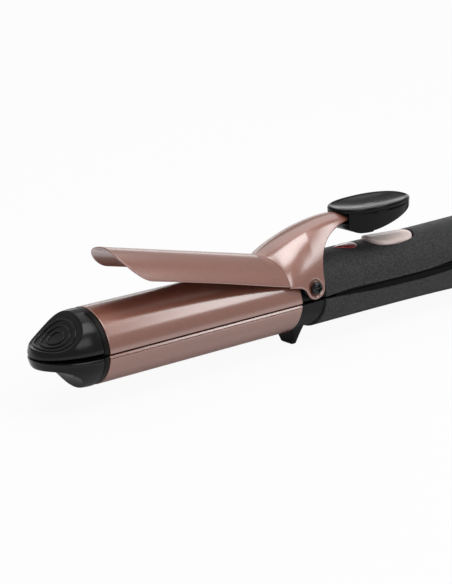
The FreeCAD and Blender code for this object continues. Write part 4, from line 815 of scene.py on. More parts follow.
# Clip.
SEAM_FLANK = 10.5 * MM  # the seam sweeps back from the blade's straight tip over this width
FOOT_HALF_WIDTH = 16.0 * MM  # where the seam meets the lever's foot
LEAN_RUN = 20.0 * MM  # the length that counts as a radian of lean along the rear edge
REAR_EDGE = ((4.77, 0.0), (4.49, 7.64), (6.48, 15.0), (10.87, 20.8), (17.56, 25.33), (24.0, 27.6), (28.6, 28.9))
PAD_POWER = 2.3
KEEL_FRONT = (6.4 * MM, 4.2)  # the run and the power of the keel's climb
KEEL_REAR = (7.8 * MM, 1.5)


def opened(points):
    """Points of the closed clip at its rest angle."""
    clip = settings().clip
    return turned(points, clip.opening, clip.pivot_x, clip.pivot_z)


def blade_faces(rows=110, tip_cols=10, corner_cols=44):
    """The blade: a rolled sheet (x, R sin a, R cos a) from a rounded tip to a swept seam.
    Its tip is straight across the middle, then a quarter ellipse to each side edge, and its angles
    widen towards the lever."""
    barrel, clip = settings().barrel, settings().clip
    outer = barrel.radius + clip.blade_gap + clip.blade_sheet
    axis = barrel.seam - barrel.offset
    reach = math.acos((clip.blade_edge + barrel.offset) / outer)
    widening = math.acos((clip.lever_edge + barrel.offset) / outer) / reach
    edge_y = outer * math.sin(reach)
    turn = quarter(corner_cols)
    half_y = np.concatenate([np.linspace(0.0, clip.tip_half_width, tip_cols, endpoint=False),
                             clip.tip_half_width + (edge_y - clip.tip_half_width) * np.sin(turn)])
    half_start = np.concatenate([np.zeros(tip_cols), clip.corner_length * (1.0 - np.cos(turn))])
    y = np.concatenate([-half_y[:0:-1], half_y])
    start = barrel.front + clip.blade_lead + np.concatenate([half_start[:0:-1], half_start])
    end = barrel.rear - clip.seam_lead + clip.seam_lap + seam_slope() * np.abs(y)
    a = np.arcsin(y / outer)
    share = crowded_start(rows, 2.0)[:, None]
    x = mix(start, end, share)
    slope = np.gradient(start) / np.maximum(np.gradient(outer * a), 1e-9)
    distance = np.minimum((x - start) / np.sqrt(1.0 + slope ** 2), outer * (reach - np.abs(a)))
    distance = np.minimum(distance, end - x)
    a = a * mix(1.0, widening, smooth_step(0.3, 1.0, share))
    radial = stack(0.0, np.sin(a), np.cos(a))
    rounding = 0.4 * MM
    faces = sheet(stack(x, 0.0, axis) + outer * radial, -radial, clip.blade_sheet, rounding, distance)
    return [opened(face) for face in faces]


def seam_slope():
    """How far the seam between blade and lever sweeps back for each step to the side."""
    clip = settings().clip
    return clip.seam_sweep / (clip.tip_half_width + SEAM_FLANK)


def lever_share(x):
    """Where a place along the iron lies on the lever's climb."""
    barrel, clip = settings().barrel, settings().clip
    return (x - barrel.rear + clip.seam_lead) / clip.lever_length


def lever_crown(share):
    """Height of the lever over the seam plane: low + climb (1 - (1 - share)^1.45)."""
    clip = settings().clip
    return mix(clip.lever_low, clip.lever_high, 1.0 - np.clip(1.0 - share, 0.0, 1.0) ** 1.45)


def lever_width(share, lean):
    """Half width of the lever at a lean from its crown: arch sin^p + neck sqrt(1 - cos^16).
    The arch gives way to the neck as the lever climbs."""
    clip = settings().clip
    blend = np.clip(2.0 * share, 0.0, 1.0) ** 0.8
    neck = clip.neck_half_width * blend
    arch = clip.ear_half_width - neck
    return arch * np.sin(lean) ** (1.0 + 1.4 * blend) + neck * np.sqrt(1.0 - np.cos(lean) ** 16)


def leaned(points):
    """Points (x, height over the seam plane) as (x, lean from the crown)."""
    x, z = points.T
    return stack(x, np.arccos(np.clip(z / lever_crown(lever_share(x)), -1.0, 1.0)))


def lever_borders(rows, cols):
    """The four borders of one flank as (x, lean): crown, foot with its ear, front seam and rear edge."""
    barrel, clip = settings().barrel, settings().clip
    rise = clip.pivot_z - barrel.seam
    end = clip.pivot_x + clip.tongue
    apex = barrel.rear - clip.seam_lead
    side = apex + seam_slope() * FOOT_HALF_WIDTH
    drop = rise - clip.lever_edge + clip.ear_fillet
    lean = math.asin(drop / (clip.ear_fillet + clip.ear_radius))
    bend = clip.pivot_x - (clip.ear_fillet + clip.ear_radius) * math.cos(lean)
    hollow = np.linspace(QUARTER, lean, 24)
    round_ear = np.linspace(np.pi + lean, 2.0 * np.pi, 48)
    foot = np.concatenate([[[side, clip.lever_edge]],
                           arc(clip.ear_fillet, hollow) + (bend, clip.lever_edge - clip.ear_fillet),
                           arc(clip.ear_radius, round_ear) + (clip.pivot_x, rise)])
    foot = leaned(even(foot, rows))

    knots = np.array(REAR_EDGE) * MM + (clip.pivot_x, rise)
    rear = through(knots, np.linspace(0.0, 1.0, 500))[::-1]
    rear = leaned(rear[rear[:, 0] < end])
    rear = even(np.concatenate([[[end, 0.0]], rear]) * (1.0, LEAN_RUN), cols) / (1.0, LEAN_RUN)

    crown = stack(mix(apex, end, np.linspace(0.0, 1.0, rows)), 0.0)
    seam_lean = np.linspace(0.0, foot[0, 1], cols)
    seam_x = np.full(cols, apex)
    passes = 12  # the seam's place and width depend on each other, so they settle in steps
    for _ in range(passes):
        seam_x = apex + seam_slope() * lever_width(lever_share(seam_x), seam_lean)
    seam_x = seam_x + (side - seam_x[-1]) * np.linspace(0.0, 1.0, cols) ** 3
    return crown, foot, stack(seam_x, seam_lean), rear


def coons(crown, foot, seam, rear, r, q):
    """A patch between four borders: the two ruled blends less the blend of the corners."""
    r, q = r[:, None, None], q[None, :, None]
    corners = mix(mix(crown[0], crown[-1], r), mix(foot[0], foot[-1], r), q)
    return mix(crown[:, None], foot[:, None], q) + mix(seam[None], rear[None], r) - corners


def border_runs(points):
    """Distances along a grid from its first row, last row and nearer side column."""
    rows = np.linalg.norm(np.diff(points, axis=0), axis=-1)
    rows = np.concatenate([np.zeros((1, rows.shape[1])), np.cumsum(rows, axis=0)])
    cols = np.linalg.norm(np.diff(points, axis=1), axis=-1)
    cols = np.concatenate([np.zeros((cols.shape[0], 1)), np.cumsum(cols, axis=1)], axis=1)
    return rows, rows[-1] - rows, np.minimum(cols, cols[:, -1:] - cols)


def lever_faces(rows=172, cols=130, fine=600):
    """The lever: both flanks of a patch in (x, lean), carried to the lever's widths and heights.
    At the front its radius about the barrel's axis grows out of the blade's, R + (r - R)(1 - exp(-run / grow)).
    Round the screw it sinks in a cup, and it thickens to a rolled rear edge."""
    barrel, clip = settings().barrel, settings().clip
    lap, grow, cup_wall, front_sheet, least = 0.03 * MM, 3.0 * MM, 1.5 * MM, 0.5 * MM, 0.4 * MM
    roll, rounding, ear_near, ear_far = 6.0 * MM, 0.8 * MM, 5.0 * MM, 9.0 * MM
    front_blunt, rear_slope = 0.2 * MM, 0.4
    r, q = crowded(rows, 0.75), np.linspace(0.0, 1.0, cols) ** 0.9
    steps = np.linspace(0.0, 1.0, fine)
    at = [stack(*[np.interp(share, steps, part) for part in border.T])
          for border, share in zip(lever_borders(fine, fine), (r, 1.0 - (1.0 - r) ** 1.6, q, q))]
    patch = coons(*at, r, q)
    x, lean = patch[..., 0], np.maximum(patch[..., 1], 0.0)
    share = lever_share(x)
    y, z = lever_width(share, lean), lever_crown(share) * np.cos(lean)
    from_seam = border_runs(stack(x, y, z))[0]
    outer = barrel.radius + clip.blade_gap + clip.blade_sheet
    about = np.hypot(y, z + barrel.offset)
    drawn = (outer + lap + (about - outer) * (1.0 - np.exp(-from_seam / grow))) / about
    y, z = y * drawn, (z + barrel.offset) * drawn - barrel.offset
    from_screw = np.hypot(x - clip.pivot_x, z - clip.pivot_z + barrel.seam)
    cup = 1.0 - smooth_step(clip.ear_cup - cup_wall, clip.ear_cup, from_screw)
    y = y - clip.ear_cup_depth * cup
    half = stack(x, y, barrel.seam + z)
    face = np.concatenate([half[:, :0:-1] * (1.0, -1.0, 1.0), half], axis=1)
    along, from_screw = [np.concatenate([part[:, :0:-1], part], axis=1)
                         for part in np.broadcast_arrays(r[:, None], from_screw)]
    inward = -normals(face, stack(face[..., 0], 0.0, barrel.seam))
    front, rear, side = border_runs(face)
    thickness = mix(front_sheet, clip.lever_sheet, smooth_step(0.0, 0.3, along))
    thickness = mix(clip.rolled_edge, thickness, smooth_step(0.0, roll, rear))
    room = np.maximum(np.abs(face[..., 1]) - clip.ear_inner, least)
    near_screw = 1.0 - smooth_step(ear_near, ear_far, from_screw)
    thickness = mix(thickness, np.minimum(thickness, room), near_screw)
    distance = np.minimum(np.minimum(front + front_blunt, rear_slope * rear), side)
    return [opened(part) for part in sheet(face, inward, thickness, rounding, distance)]


class MakeClip(bpy.types.Operator):
    """Build the clip's blade and lever"""

    bl_idname = "styling_iron.clip"
    bl_label = "Clip"

    def execute(self, context):
        make_piece("clip_blade_sheet", "rose_satin", "clip", "clip_blade", "rose_sheet",
                   *blade_faces(), crease=60.0)
        make_piece("clip_lever_casting", "rose_gloss", "clip", "clip_lever", "rose_casting",
                   *lever_faces(), crease=60.0)
        return {"FINISHED"}


def pad_rim(angle, outset):
    """The pad's superellipse rim in plan, let out or drawn in by an outset."""
    clip = settings().clip
    along, across = power_curve(angle, PAD_POWER)
    return (clip.pad_half_length + outset) * along, (clip.pad_half_width + outset) * across


def pad_lid(cols=160):
    """The lid: a parabolic dish, a rolled rim, a short side and a flat underside, round a superellipse."""
    clip = settings().clip
    roll, lid, rounding = clip.pad_rim / 2.0, clip.pad_lid, 0.4 * MM
    angle = circle(cols)
    dish = np.linspace(0.0, 1.0, 28)
    over = np.linspace(-0.9, QUARTER, 14)
    under = quarter(6)
    rows = []
    start = -roll + roll * math.sin(over[0])
    level = -roll + roll * math.cos(over[0])
    x, y = pad_rim(angle, start)
    for share in dish[:-1]:
        rows.append(stack(x * share, y * share, level - clip.pad_dish * (1.0 - share ** 2)))
    outsets = np.concatenate([-roll + roll * np.sin(over), -rounding + rounding * np.cos(under)])
    levels = np.concatenate([-roll + roll * np.cos(over), -lid + rounding - rounding * np.sin(under)])
    for outset, height in zip(outsets, levels):
        x, y = pad_rim(angle, outset)
        rows.append(stack(x, y, height))
    rows.append(stack(x * 0.6, y * 0.6, -lid))
    rows.append(stack(0.0 * x, 0.0 * y, -lid))
    return np.stack(rows)


def pad_keel(x):
    """The keel's height along the pad: from its lowest point it climbs, in millimetres, as a power of the
    distance over a run, with its own run and power to the front and to the rear, and keeps under the lid."""
    clip = settings().clip
    along, least = x + clip.keel_lead, 0.4 * MM
    front, rear = [np.abs(along / run) ** power for run, power in (KEEL_FRONT, KEEL_REAR)]
    climb = np.where(along < 0.0, front, rear)
    return np.minimum(climb * MM - clip.pad_depth, -clip.pad_lid - least)


def pad_block(x, low_y, high_y, low_z, high_z, cols=56):
    """A stretch of the pad's body: rounded box sections between two sides, a floor and a top."""
    angle = circle(cols)
    across, up = power_curve(angle, 11.0)
    low_y, high_y, low_z, high_z = [np.broadcast_to(side, x.shape)[:, None] for side in
                                    (low_y, high_y, low_z, high_z)]
    return capped(stack(x[:, None], (low_y + high_y) / 2.0 + (high_y - low_y) / 2.0 * across,
                        (low_z + high_z) / 2.0 + (high_z - low_z) / 2.0 * up))


def pad_side(x, inset):
    """Half width of the pad's body along its length, from the superellipse rim."""
    clip = settings().clip
    share = np.clip(np.abs(x) / (clip.pad_half_length - inset), 0.0, 1.0)
    return (clip.pad_half_width - inset) * (1.0 - share ** PAD_POWER) ** (1.0 / PAD_POWER)


class MakeThumbPad(bpy.types.Operator):
    """Build the thumb pad: a dished lid over a keeled body with a notch for the neck"""

    bl_idname = "styling_iron.thumb_pad"
    bl_label = "Thumb pad"

    def execute(self, context):
        clip = settings().clip
        inset, lap = clip.pad_inset, 0.1 * MM
        back = clip.pad_half_length - inset
        top = -clip.pad_lid + lap
        inner = clip.notch_depth - clip.pad_half_length
        rear = inner + (back - inner) * np.sin(quarter(56))
        main = pad_block(rear, -pad_side(rear, inset), pad_side(rear, inset), pad_keel(rear), top)
        notch = clip.notch_half_width
        front = -back * (1.0 - (notch / (clip.pad_half_width - inset)) ** PAD_POWER) ** (1.0 / PAD_POWER)
        cheek = np.linspace(front + lap, inner + lap, 36)
        cheeks = [pad_block(cheek, notch, pad_side(cheek, inset), pad_keel(cheek), top),
                  pad_block(cheek, -pad_side(cheek, inset), -notch, pad_keel(cheek), top)]
        reach = KEEL_FRONT[0] * ((clip.pad_depth - clip.notch_floor) / MM) ** (1.0 / KEEL_FRONT[1])
        sill = np.linspace(-clip.keel_lead - reach + FIT, inner + lap, 24)
        sill_half_width = notch + 0.5 * MM
        floor = pad_block(sill, -sill_half_width, sill_half_width, pad_keel(sill), -clip.notch_floor)
        middle_x, middle_z = clip.pivot_x + clip.pad_x, clip.pivot_z + clip.pad_z
        placed = [opened(turned(grid, -clip.pad_pitch, 0.0, 0.0) + (middle_x, 0.0, middle_z))
                  for grid in (pad_lid(), main, *cheeks, floor)]
        make_piece("thumb_rest", "pad_black", "clip", "thumb_pad", "gloss_black",
                   *map(closed, placed))
        return {"FINISHED"}


def screw_head(sign, rows=40, cols=96):
    """A pan head, y = seat + height (1 - share^3.5 / 2), with a cross sunk where |x| or |z| is small."""
    clip = settings().clip
    arm_wall, recess_wall, recess = (0.3 * MM, 0.55 * MM), (1.35 * MM, 1.75 * MM), 0.9 * MM
    share, angle = crossed(np.linspace(0.0, 1.0, rows), circle(cols))
    radius = clip.screw_radius * share
    along, up = radius * np.cos(angle), radius * np.sin(angle)
    arm = np.minimum(np.abs(along), np.abs(up))
    cross = (1.0 - smooth_step(*arm_wall, arm)) * (1.0 - smooth_step(*recess_wall, radius))
    top = clip.screw_seat + clip.screw_height * (1.0 - 0.5 * share ** 3.5) - recess * cross
    skirt = np.full((1, cols), clip.screw_seat)
    along, up = np.concatenate([along, along[-1:]]), np.concatenate([up, up[-1:]])
    reach = np.concatenate([top, skirt])
    return capped(stack(clip.pivot_x + along, sign * reach, clip.pivot_z + up))


class MakePivot(bpy.types.Operator):
    """Build the heads of the pivot screws"""

    bl_idname = "styling_iron.pivot"
    bl_label = "Pivot"

    def execute(self, context):
        make_piece("pivot_screw_heads", "black_screw", "upper_arm", "pivot_screws", "black_screw",
                   *[closed(screw_head(sign)) for sign in (1, -1)])
        return {"FINISHED"}


# Handle.
BAND = {UPPER: (0.3, 1.1, 0.85, 0.7, 0.8, 1.9, 3.0, 3.6, 3.7, 3.4, 3.0),
        LOWER: (0.5, 1.35, 2.4, 2.75, 2.9, 2.3, 1.6, 1.3, 1.2, 1.2, 1.2)}


def grip_share(x):
    """Where a place along the iron lies on the grip's length."""
    handle = settings().handle
    return np.clip((x - handle.front) / (handle.rear - handle.front), 0.0, 1.0)


def grip_half_width(x):
    """Half the grip's width along the iron."""
    handle = settings().handle
    return mix(handle.front_half_width, handle.rear_half_width, grip_share(x))


def grip_height(side, x):
    """The grip's height over, or depth under, the seam plane: front + (rear - front) share^power."""
    handle = settings().handle
    if side == UPPER:
        return mix(handle.front_crown, handle.rear_crown, grip_share(x) ** 2.4)
    return mix(handle.front_belly, handle.rear_belly, grip_share(x) ** 3.3)


def band_rise(side, x):
    """How far a shell's edge stays from the seam plane: a smooth curve through heights, in millimetres, at even
    steps along the grip."""
    return through(np.array(BAND[side])[:, None] * MM, grip_share(x))[..., 0]


def section_normal(y, z, wide, tall):
    """Outward unit normals of elliptical sections."""
    return unit(stack(0.0, y / wide ** 2, z / tall ** 2))


def crown_point(x, y, lift):
    """A point of the upper grip over a place in plan, lifted along the outward normal, and that normal."""
    barrel = settings().barrel
    wide, tall = grip_half_width(x), grip_height(UPPER, x)
    z = tall * np.sqrt(np.maximum(1.0 - (y / wide) ** 2, 0.0))
    outward = section_normal(y, z, wide, tall)
    return stack(x, y, barrel.seam + z) + outward * np.asarray(lift)[..., None], outward


def upper_grip():
    """The upper shell: elliptical sections down to a swept edge, with a round-ended well for the rocker.
    Round the well, rings run from its outline to a rectangle of the grid."""
    barrel, handle = settings().barrel, settings().handle
    end = handle.rear - handle.housing - handle.housing_gap
    well_reach, well_share, well_flat = 21.0 * MM, 0.52, 14.0 * MM
    lean_run, lean_level, lean_slope = 14.0 * MM, 6.0 * MM, math.tan(math.radians(10.0))
    well_x = (handle.rocker_x - well_reach, handle.rocker_x + well_reach)
    front_cols, well_cols, rear_cols = 30, 56, 70
    x = np.concatenate([mix(handle.front, well_x[0], crowded_start(front_cols, 1.6)[:-1]),
                        np.linspace(*well_x, well_cols)[:-1],
                        mix(end, well_x[1], crowded_start(rear_cols, 1.6))[::-1]])
    side_rows, well_rows = 34, 30
    flank = mix(1.0, well_share, crowded_start(side_rows, 1.7))
    w = np.concatenate([-flank[:-1], np.linspace(-well_share, well_share, well_rows)[:-1], flank[::-1]])
    x, w = crossed(x, w)
    wide, tall = grip_half_width(x), grip_height(UPPER, x)
    reach = np.arccos(band_rise(UPPER, x) / tall)
    y, z = wide * np.sin(w * reach), tall * np.cos(w * reach)
    outward = section_normal(y, z, wide, tall)
    distance = np.minimum(np.minimum(x - handle.front, end - x), tall * reach * (1.0 - np.abs(w)))
    lean = lean_slope * (lean_level - z) * smooth_step(0.0, 1.0, (x - end + lean_run) / lean_run)
    faces = sheet(stack(x + lean, y, barrel.seam + z), -outward, handle.wall, handle.edge, distance)

    first, last = front_cols - 1, front_cols + well_cols - 2
    left, right = side_rows - 1, side_rows + well_rows - 2
    keep = np.ones((x.shape[0] - 1, x.shape[1] - 1), bool)
    keep[first:last, left:right] = False
    i = np.concatenate([np.arange(first, last), np.full(right - left, last), np.arange(last, first, -1),
                        np.full(right - left, first)])
    j = np.concatenate([np.full(last - first, left), np.arange(left, right), np.full(last - first, right),
                        np.arange(right, left, -1)])
    border = stack(x[i, j] - handle.rocker_x, y[i, j])
    radius = handle.rocker_width / 2.0 + handle.rocker_gap
    straight = handle.rocker_length / 2.0 + 2.0 * handle.rocker_gap - radius
    spine = stack(np.clip(border[:, 0] * straight / well_flat, -straight, straight), 0.0)
    hole = spine + radius * unit(border - spine)
    share = crowded_start(22, 1.9)[:, None, None]
    plan = mix(hole, border, share)
    ring, normal = crown_point(plan[..., 0] + handle.rocker_x, plan[..., 1], 0.0)
    rings = sheet(ring, -normal, handle.wall, handle.edge, np.linalg.norm(plan - hole, axis=-1))
    return [(face, False, keep) for face in faces] + [closed(face) for face in rings]


def lower_grip():
    """The lower shell, which closes into the hinge housing: sections (W sin a, T cos a) along the iron,
    a rounded rear end and a flat end face down to the cord outlet."""
    barrel, handle = settings().barrel, settings().handle
    house, round_rear = handle.rear - handle.housing, handle.rear_round
    front_rows, end_rows, end_edge = 90, 12, 6.0 * MM
    shy = 0.999  # keeps a little of the radial part where a normal turns to the rear
    bend = quarter(16)[1:]
    straight = np.concatenate([mix(handle.front, house, crowded_start(front_rows, 1.4)),
                               mix(house, handle.rear - round_rear, crowded_start(26, 1.6)[1:])])
    x = np.concatenate([straight, handle.rear - round_rear * (1.0 - np.sin(bend)),
                        np.full(end_rows, handle.rear)])[:, None]
    inset = np.concatenate([np.zeros(len(straight)), round_rear * (1.0 - np.cos(bend)),
                            np.full(end_rows, round_rear)])[:, None]
    flat = np.concatenate([np.zeros(len(x) - end_rows),
                           1.0 - (1.0 - np.linspace(0.0, 1.0, end_rows + 1)[1:]) ** 1.5])[:, None]
    angle = crowded(110, 0.6) * 2.0 - 1.0
    grids = []
    for side in (LOWER, UPPER):
        rows = slice(0 if side == LOWER else front_rows - 1, None)
        along, drawn, ending = x[rows], inset[rows], flat[rows]
        wide = mix(grip_half_width(along) - drawn, handle.outlet, ending)
        tall = mix(grip_height(side, along) - drawn, handle.outlet, ending)
        housed = along >= house - 1e-9
        reach = QUARTER
        if side == LOWER:
            edge = np.arccos(band_rise(LOWER, along) / grip_height(LOWER, along))
            reach = np.where(housed, QUARTER, edge)
        a = reach * angle
        radial = unit(stack(0.0, np.sin(a) / wide, np.cos(a) / tall * side))
        facing = np.clip((along - handle.rear + round_rear) / round_rear, 0.0, 1.0)
        outward = unit(radial * np.sqrt(1.0 - facing ** 2 * shy)[..., None]
                       + stack(facing, 0.0, 0.0))
        points = stack(along, wide * np.sin(a), barrel.seam + side * tall * np.cos(a))
        to_side = tall * (reach - np.abs(a))
        if side == LOWER:
            to_edge = np.where(housed, np.hypot(along - house, to_side),
                               np.minimum(to_side, along - handle.front))
        else:
            to_edge = along - house
        to_outlet = np.where(ending > 0.0, (1.0 - ending) * end_edge, FAR)
        grids.extend(sheet(points, -outward, handle.wall, handle.edge, np.minimum(to_edge, to_outlet)))
    return grids


class MakeHandle(bpy.types.Operator):
    """Build the two grip shells and the hinge housing"""

    bl_idname = "styling_iron.handle"
    bl_label = "Handle"

    def execute(self, context):
        make_piece("upper_grip", "charcoal", "upper_arm", "upper_handle", "charcoal_shell",
                   *upper_grip())
        make_piece("lower_grip", "charcoal", "lower_arm", "lower_handle", "charcoal_shell",
                   *lower_grip())
        return {"FINISHED"}


def lens_dome(rows=24, cols=120):
    """The lens: a teardrop in plan whose rim sinks into the grip: lift = proud sqrt(1 - share^4)."""
    handle = settings().handle
    rim_sink, skirt = 0.02 * MM, 1.2 * MM
    radius = handle.lens_radius
    centre = handle.lens_tip + handle.lens_length - radius
    reach = centre - handle.lens_tip
    lean = math.acos(radius / reach)
    turn = np.linspace(-np.pi + lean, np.pi - lean, cols - 20)
    point = np.array([[-reach, 0.0]])
    outline = even(np.concatenate([point, arc(radius, turn), point]), cols + 1)[:-1]
    outline = (outline + np.roll(outline, 1, axis=0) + np.roll(outline, -1, axis=0)) / 3.0
    share = np.concatenate([np.linspace(0.0, 1.0, rows), [1.0]])[:, None, None]
    plan = outline * share
    lift = handle.lens_proud * np.sqrt(np.maximum(1.0 - share[..., 0] ** 4, 0.0)) - rim_sink
    lift = lift - np.concatenate([np.zeros(rows), [skirt]])[:, None]
    return capped(crown_point(plan[..., 0] + centre, plan[..., 1], lift)[0])


def rocker_cap(rows=26, cols=140):
    """The rocker: a round-ended plan, a crowned top that falls over a rounded edge to a straight skirt."""
    barrel, handle = settings().barrel, settings().handle
    radius = handle.rocker_width / 2.0
    straight = handle.rocker_length / 2.0 - radius
    turn = np.linspace(-QUARTER, QUARTER, cols // 2)
    cap = arc(radius, turn) + (straight, 0.0)
    outline = even(np.concatenate([cap, -cap, cap[:1]]), cols + 1)[:-1]
    edge = 0.9 * MM
    bend = quarter(9)
    inset = np.concatenate([np.linspace(radius, edge, rows)[:-1], edge * (1.0 - np.sin(bend)), [0.0]])
    drop = np.concatenate([np.zeros(rows - 1), edge * (1.0 - np.cos(bend)), [handle.rocker_depth]])
    spine = stack(np.clip(outline[:, 0], -straight, straight), 0.0)
    plan = spine + (outline - spine) * (1.0 - inset / radius)[:, None, None]
    x, y = plan[..., 0], plan[..., 1]
    crown = np.sqrt(barrel.radius ** 2 - y ** 2) - barrel.radius
    z = barrel.seam + handle.rocker_top + crown - drop[:, None]
    z[-1] = barrel.seam + handle.rocker_top - handle.rocker_depth
    level = capped(stack(handle.rocker_x + x, y, z))
    return turned(level, handle.rocker_tilt, handle.rocker_x, handle.rocker_z)


class MakeControls(bpy.types.Operator):
    """Build the ready lamp's lens and the rocker"""

    bl_idname = "styling_iron.controls"
    bl_label = "Controls"

    def execute(self, context):
        make_piece("ready_lens", "red_lens", "upper_arm", "indicator_lens", "red_lens",
                   closed(lens_dome()))
        make_piece("rocker_cap", "pale_rose", "rocker", "rocker_button", "pale_rose",
                   closed(rocker_cap()))
        return {"FINISHED"}


def lock_knob(rows=26, cols=96):
    """The lock slider's knob: a rounded square over the housing with cross ribs, its edge rounded down."""
    handle = settings().handle
    angle = circle(cols)
    along, across = power_curve(angle, 6.0)
    share = np.concatenate([np.linspace(0.0, 1.0, rows), [1.0]])[:, None]
    x = handle.lock_half_length * along * share
    y = handle.lock_half_width * across * share
    rib, pitch, edge_drop = 0.25 * MM, 1.8 * MM, 0.6 * MM
    ribs = rib * (1.0 + np.cos(2.0 * np.pi * x / pitch)) * (1.0 - smooth_step(0.65, 0.85, share))
    top = handle.lock_gap + handle.lock_height - 2.0 * rib
    lift = top - edge_drop * smooth_step(0.82, 1.0, share) ** 2 + ribs
    lift[-1] = handle.lock_gap
    return capped(crown_point(handle.lock_x + x, y, lift)[0])


OUTLET_PROFILE = ((-5.6, 3.1), (-5.6, 4.4), (0.2, 4.4), (0.3, 5.2), (0.6, 5.55), (1.4, 5.5), (1.9, 5.4),
                  (2.1, 5.1), (2.6, 5.1), (2.8, 5.25), (3.6, 5.12), (4.0, 5.05), (4.2, 4.75), (4.7, 4.75),
                  (4.9, 4.9), (6.4, 4.6), (7.0, 4.45), (7.25, 4.2), (7.3, 3.6), (7.15, 3.2), (6.8, 3.1),
                  (-5.6, 3.1))


def outlet_bell(cols=72):
    """The cord outlet: a profile of (x, radius), in millimetres, spun about its axis, with two grip grooves."""
    barrel, handle = settings().barrel, settings().handle
    angle = circle(cols)
    along, radius = (np.array(OUTLET_PROFILE) * MM).T[:, :, None]
    return stack(handle.rear + along, radius * np.cos(angle), barrel.seam + radius * np.sin(angle))


class MakeRearEnd(bpy.types.Operator):
    """Build the lock slider and the cord outlet"""

    bl_idname = "styling_iron.rear_end"
    bl_label = "Rear end"

    def execute(self, context):
        make_piece("lock_knob", "satin_black", "lock", "lock_slider", "charcoal_shell",
                   closed(lock_knob()))
        make_piece("cord_outlet", "satin_black", "swivel", "cord_swivel", "charcoal_shell",
                   closed(outlet_bell()))
        return {"FINISHED"}


INNER_FINISHES = {
    "rose_satin": ("upper_plate",),
    "band_black": ("upper_liner", "lower_liner"),
    "ceramic": ("upper_heater", "lower_heater"),
    "aluminium": ("upper_spreader", "lower_spreader"),
    "brass": ("upper_leads", "lower_leads"),
    "steel": ("hinge_pin", "arm_spring", "rocker_pin", "thermal_fuse"),
    "black_screw": ("upper_screws", "lower_screws", "thumb_pad_screw", "clip_springs"),
    "lamp": ("indicator_led",),
    "board": ("circuit_board",),
    "moulding": ("switch_body", "terminal_block"),
}


class FinishInnerParts(bpy.types.Operator):
    """Give the upper plate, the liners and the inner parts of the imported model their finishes"""

    bl_idname = "styling_iron.inner_parts"
    bl_label = "Inner parts"

    def execute(self, context):
        for name, parts in INNER_FINISHES.items():
            for part in parts:
                for slot in frame["nodes"][part].material_slots:
                    slot.material = finish_named(name)
        return {"FINISHED"}


# Stage. A lamp is its name, bearing, distance, the direction of its long side, its two sides and its radiance.
LAMPS = (
    ("streak_box", (0.58, -0.46, 0.67), 1.2, (0.0, -0.83, -0.56), (0.62, 0.2), 3.6),
    ("top_box", (0.14, -0.29, 0.94), 1.0, (1.0, 0.0, 0.0), (0.46, 0.5), 4.0),
    ("crown_box", (0.35, 0.35, 0.87), 1.4, (1.0, 0.0, 0.0), (1.2, 0.9), 0.9),
    ("back_strip", (0.66, 0.72, 0.22), 1.5, (0.74, -0.67, 0.0), (2.2, 0.26), 1.2),
    ("front_box", (-0.1, -0.8, 0.6), 1.0, (1.0, 0.0, 0.0), (0.45, 0.36), 2.4),
)


def standing(point, right, up, back):
    """The matrix of an object at a point, with its three axes."""
    return Matrix.Translation(point) @ Matrix((right, up, back)).transposed().to_4x4()


def add_lamp(name, toward, distance, along, size, radiance):
    """A soft box on a bearing from the iron: an area lamp, its long side along a direction, that faces back.
    Its power is the radiance times pi times its area."""
    facing = Vector(toward).normalized()
    level = Vector(along)
    level = (level - level.dot(facing) * facing).normalized()
    lamp = bpy.data.lights.new(name, "AREA")
    lamp.shape = "RECTANGLE"
    lamp.size, lamp.size_y = size
    lamp.energy = radiance * math.pi * size[0] * size[1]
    box = bpy.data.objects.new(name, lamp)
    box.matrix_world = standing(facing * distance, level, facing.cross(level), facing)
    box.visible_camera = False
    bpy.context.scene.collection.objects.link(box)


def paper_finish():
    """White paper that shows white to the camera and in reflections, and takes a pale shadow.
    A reflection from close by, under the iron, keeps the paper's own shade."""
    near, clear, share = 0.025, 0.046, 0.93
    material = bpy.data.materials.new("paper")
    material.use_nodes = True
    tree = Tree(material.node_tree)
    tree.nodes.clear()
    out = tree.nodes.new("ShaderNodeOutputMaterial")
    rough = tree.nodes.new("ShaderNodeBsdfDiffuse")
    rough.inputs["Color"].default_value = (*settings().finish.paper, 1.0)
    glow = tree.nodes.new("ShaderNodeEmission")
    path = tree.nodes.new("ShaderNodeLightPath").outputs
    glossy = tree.compute("MULTIPLY", path["Is Glossy Ray"], tree.ramp(path["Ray Length"], near, clear))
    seen = tree.compute("MAXIMUM", path["Is Camera Ray"], glossy)
    seen = tree.compute("MAXIMUM", seen, path["Is Transmission Ray"])
    mixed = tree.nodes.new("ShaderNodeMixShader")
    tree.feed(mixed.inputs["Fac"], tree.compute("MULTIPLY", seen, share))
    tree.feed(mixed.inputs[1], rough.outputs[0])
    tree.feed(mixed.inputs[2], glow.outputs[0])
    tree.feed(out.inputs["Surface"], mixed.outputs[0])
    return material


def studio_world():
    """A plain dim room."""
    world = bpy.data.worlds.new("studio")
    world.use_nodes = True
    sky = world.node_tree.nodes["Background"]
    sky.inputs["Color"].default_value = (*settings().finish.room, 1.0)
    bpy.context.scene.world = world


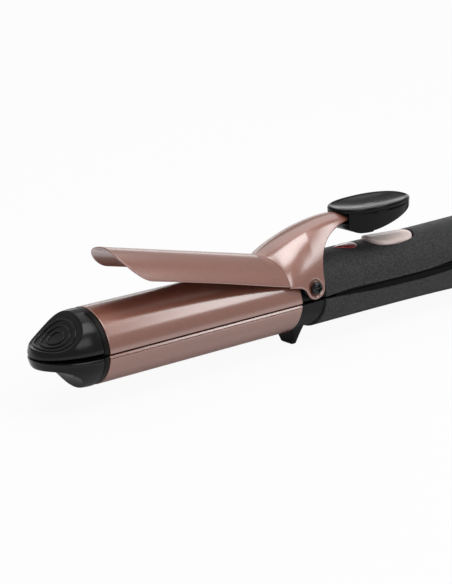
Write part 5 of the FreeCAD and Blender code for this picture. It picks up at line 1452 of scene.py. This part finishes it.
def add_camera():
    """The camera: its axes from bearing, height and roll, looking at the aim."""
    stage = settings().stage
    a, e, r = stage.azimuth, stage.elevation, stage.roll
    back = Vector((math.sin(a) * math.cos(e), -math.cos(a) * math.cos(e), math.sin(e)))
    right = Vector((math.cos(a), math.sin(a), 0.0))
    up = back.cross(right)
    level = math.cos(r) * right + math.sin(r) * up
    high = math.cos(r) * up - math.sin(r) * right
    camera = bpy.data.objects.new("camera", bpy.data.cameras.new("camera"))
    camera.data.lens = stage.lens
    camera.data.sensor_width = 36.0
    camera.data.clip_start = 0.01
    camera.matrix_world = standing(Vector(stage.aim) + back * stage.distance, level, high, back)
    bpy.context.scene.collection.objects.link(camera)
    bpy.context.scene.camera = camera


class MakeStage(bpy.types.Operator):
    """Set up the floor, the lamps and the camera"""

    bl_idname = "styling_iron.stage"
    bl_label = "Stage"

    def execute(self, context):
        context.scene.view_settings.view_transform = "Standard"
        edge = settings().stage.floor * np.array([-1.0, 1.0])
        x, y = crossed(edge, edge)
        floor = surface("floor", paper_finish(), stack(x, y, -0.1 * MM))
        for lamp in LAMPS:
            add_lamp(*lamp)
        studio_world()
        add_camera()
        return {"FINISHED"}


OPERATORS = (MakeBarrel, MakeNose, MakeCollar, MakeClip, MakeThumbPad, MakePivot, MakeHandle, MakeControls,
             MakeRearEnd, FinishInnerParts, MakeStage)
GROUP_CLASSES = (BarrelSizes, ClipSizes, HandleSizes, FinishColours, StageSizes, StylingIronSettings)


class StylingIronPanel(bpy.types.Panel):
    """The builders of the styling iron's pieces"""

    bl_idname = "VIEW3D_PT_styling_iron"
    bl_label = "Styling Iron"
    bl_space_type = "VIEW_3D"
    bl_region_type = "UI"
    bl_category = "Styling Iron"

    def draw(self, context):
        for maker in OPERATORS:
            self.layout.operator(maker.bl_idname)


def register():
    """Register the classes and the scene's settings."""
    for entry in (*GROUP_CLASSES, *OPERATORS, StylingIronPanel):
        bpy.utils.register_class(entry)
    bpy.types.Scene.styling_iron = PointerProperty(
        name="Styling iron", description="Settings of the styling iron's looks", type=StylingIronSettings)


def unregister():
    """Undo register."""
    del bpy.types.Scene.styling_iron
    for entry in reversed((*GROUP_CLASSES, *OPERATORS, StylingIronPanel)):
        bpy.utils.unregister_class(entry)


def main():
    """Build every piece."""
    register()
    for maker in OPERATORS:
        group, name = maker.bl_idname.split(".")
        getattr(getattr(bpy.ops, group), name)()
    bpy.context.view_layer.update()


if __name__ == "__main__":
    main()
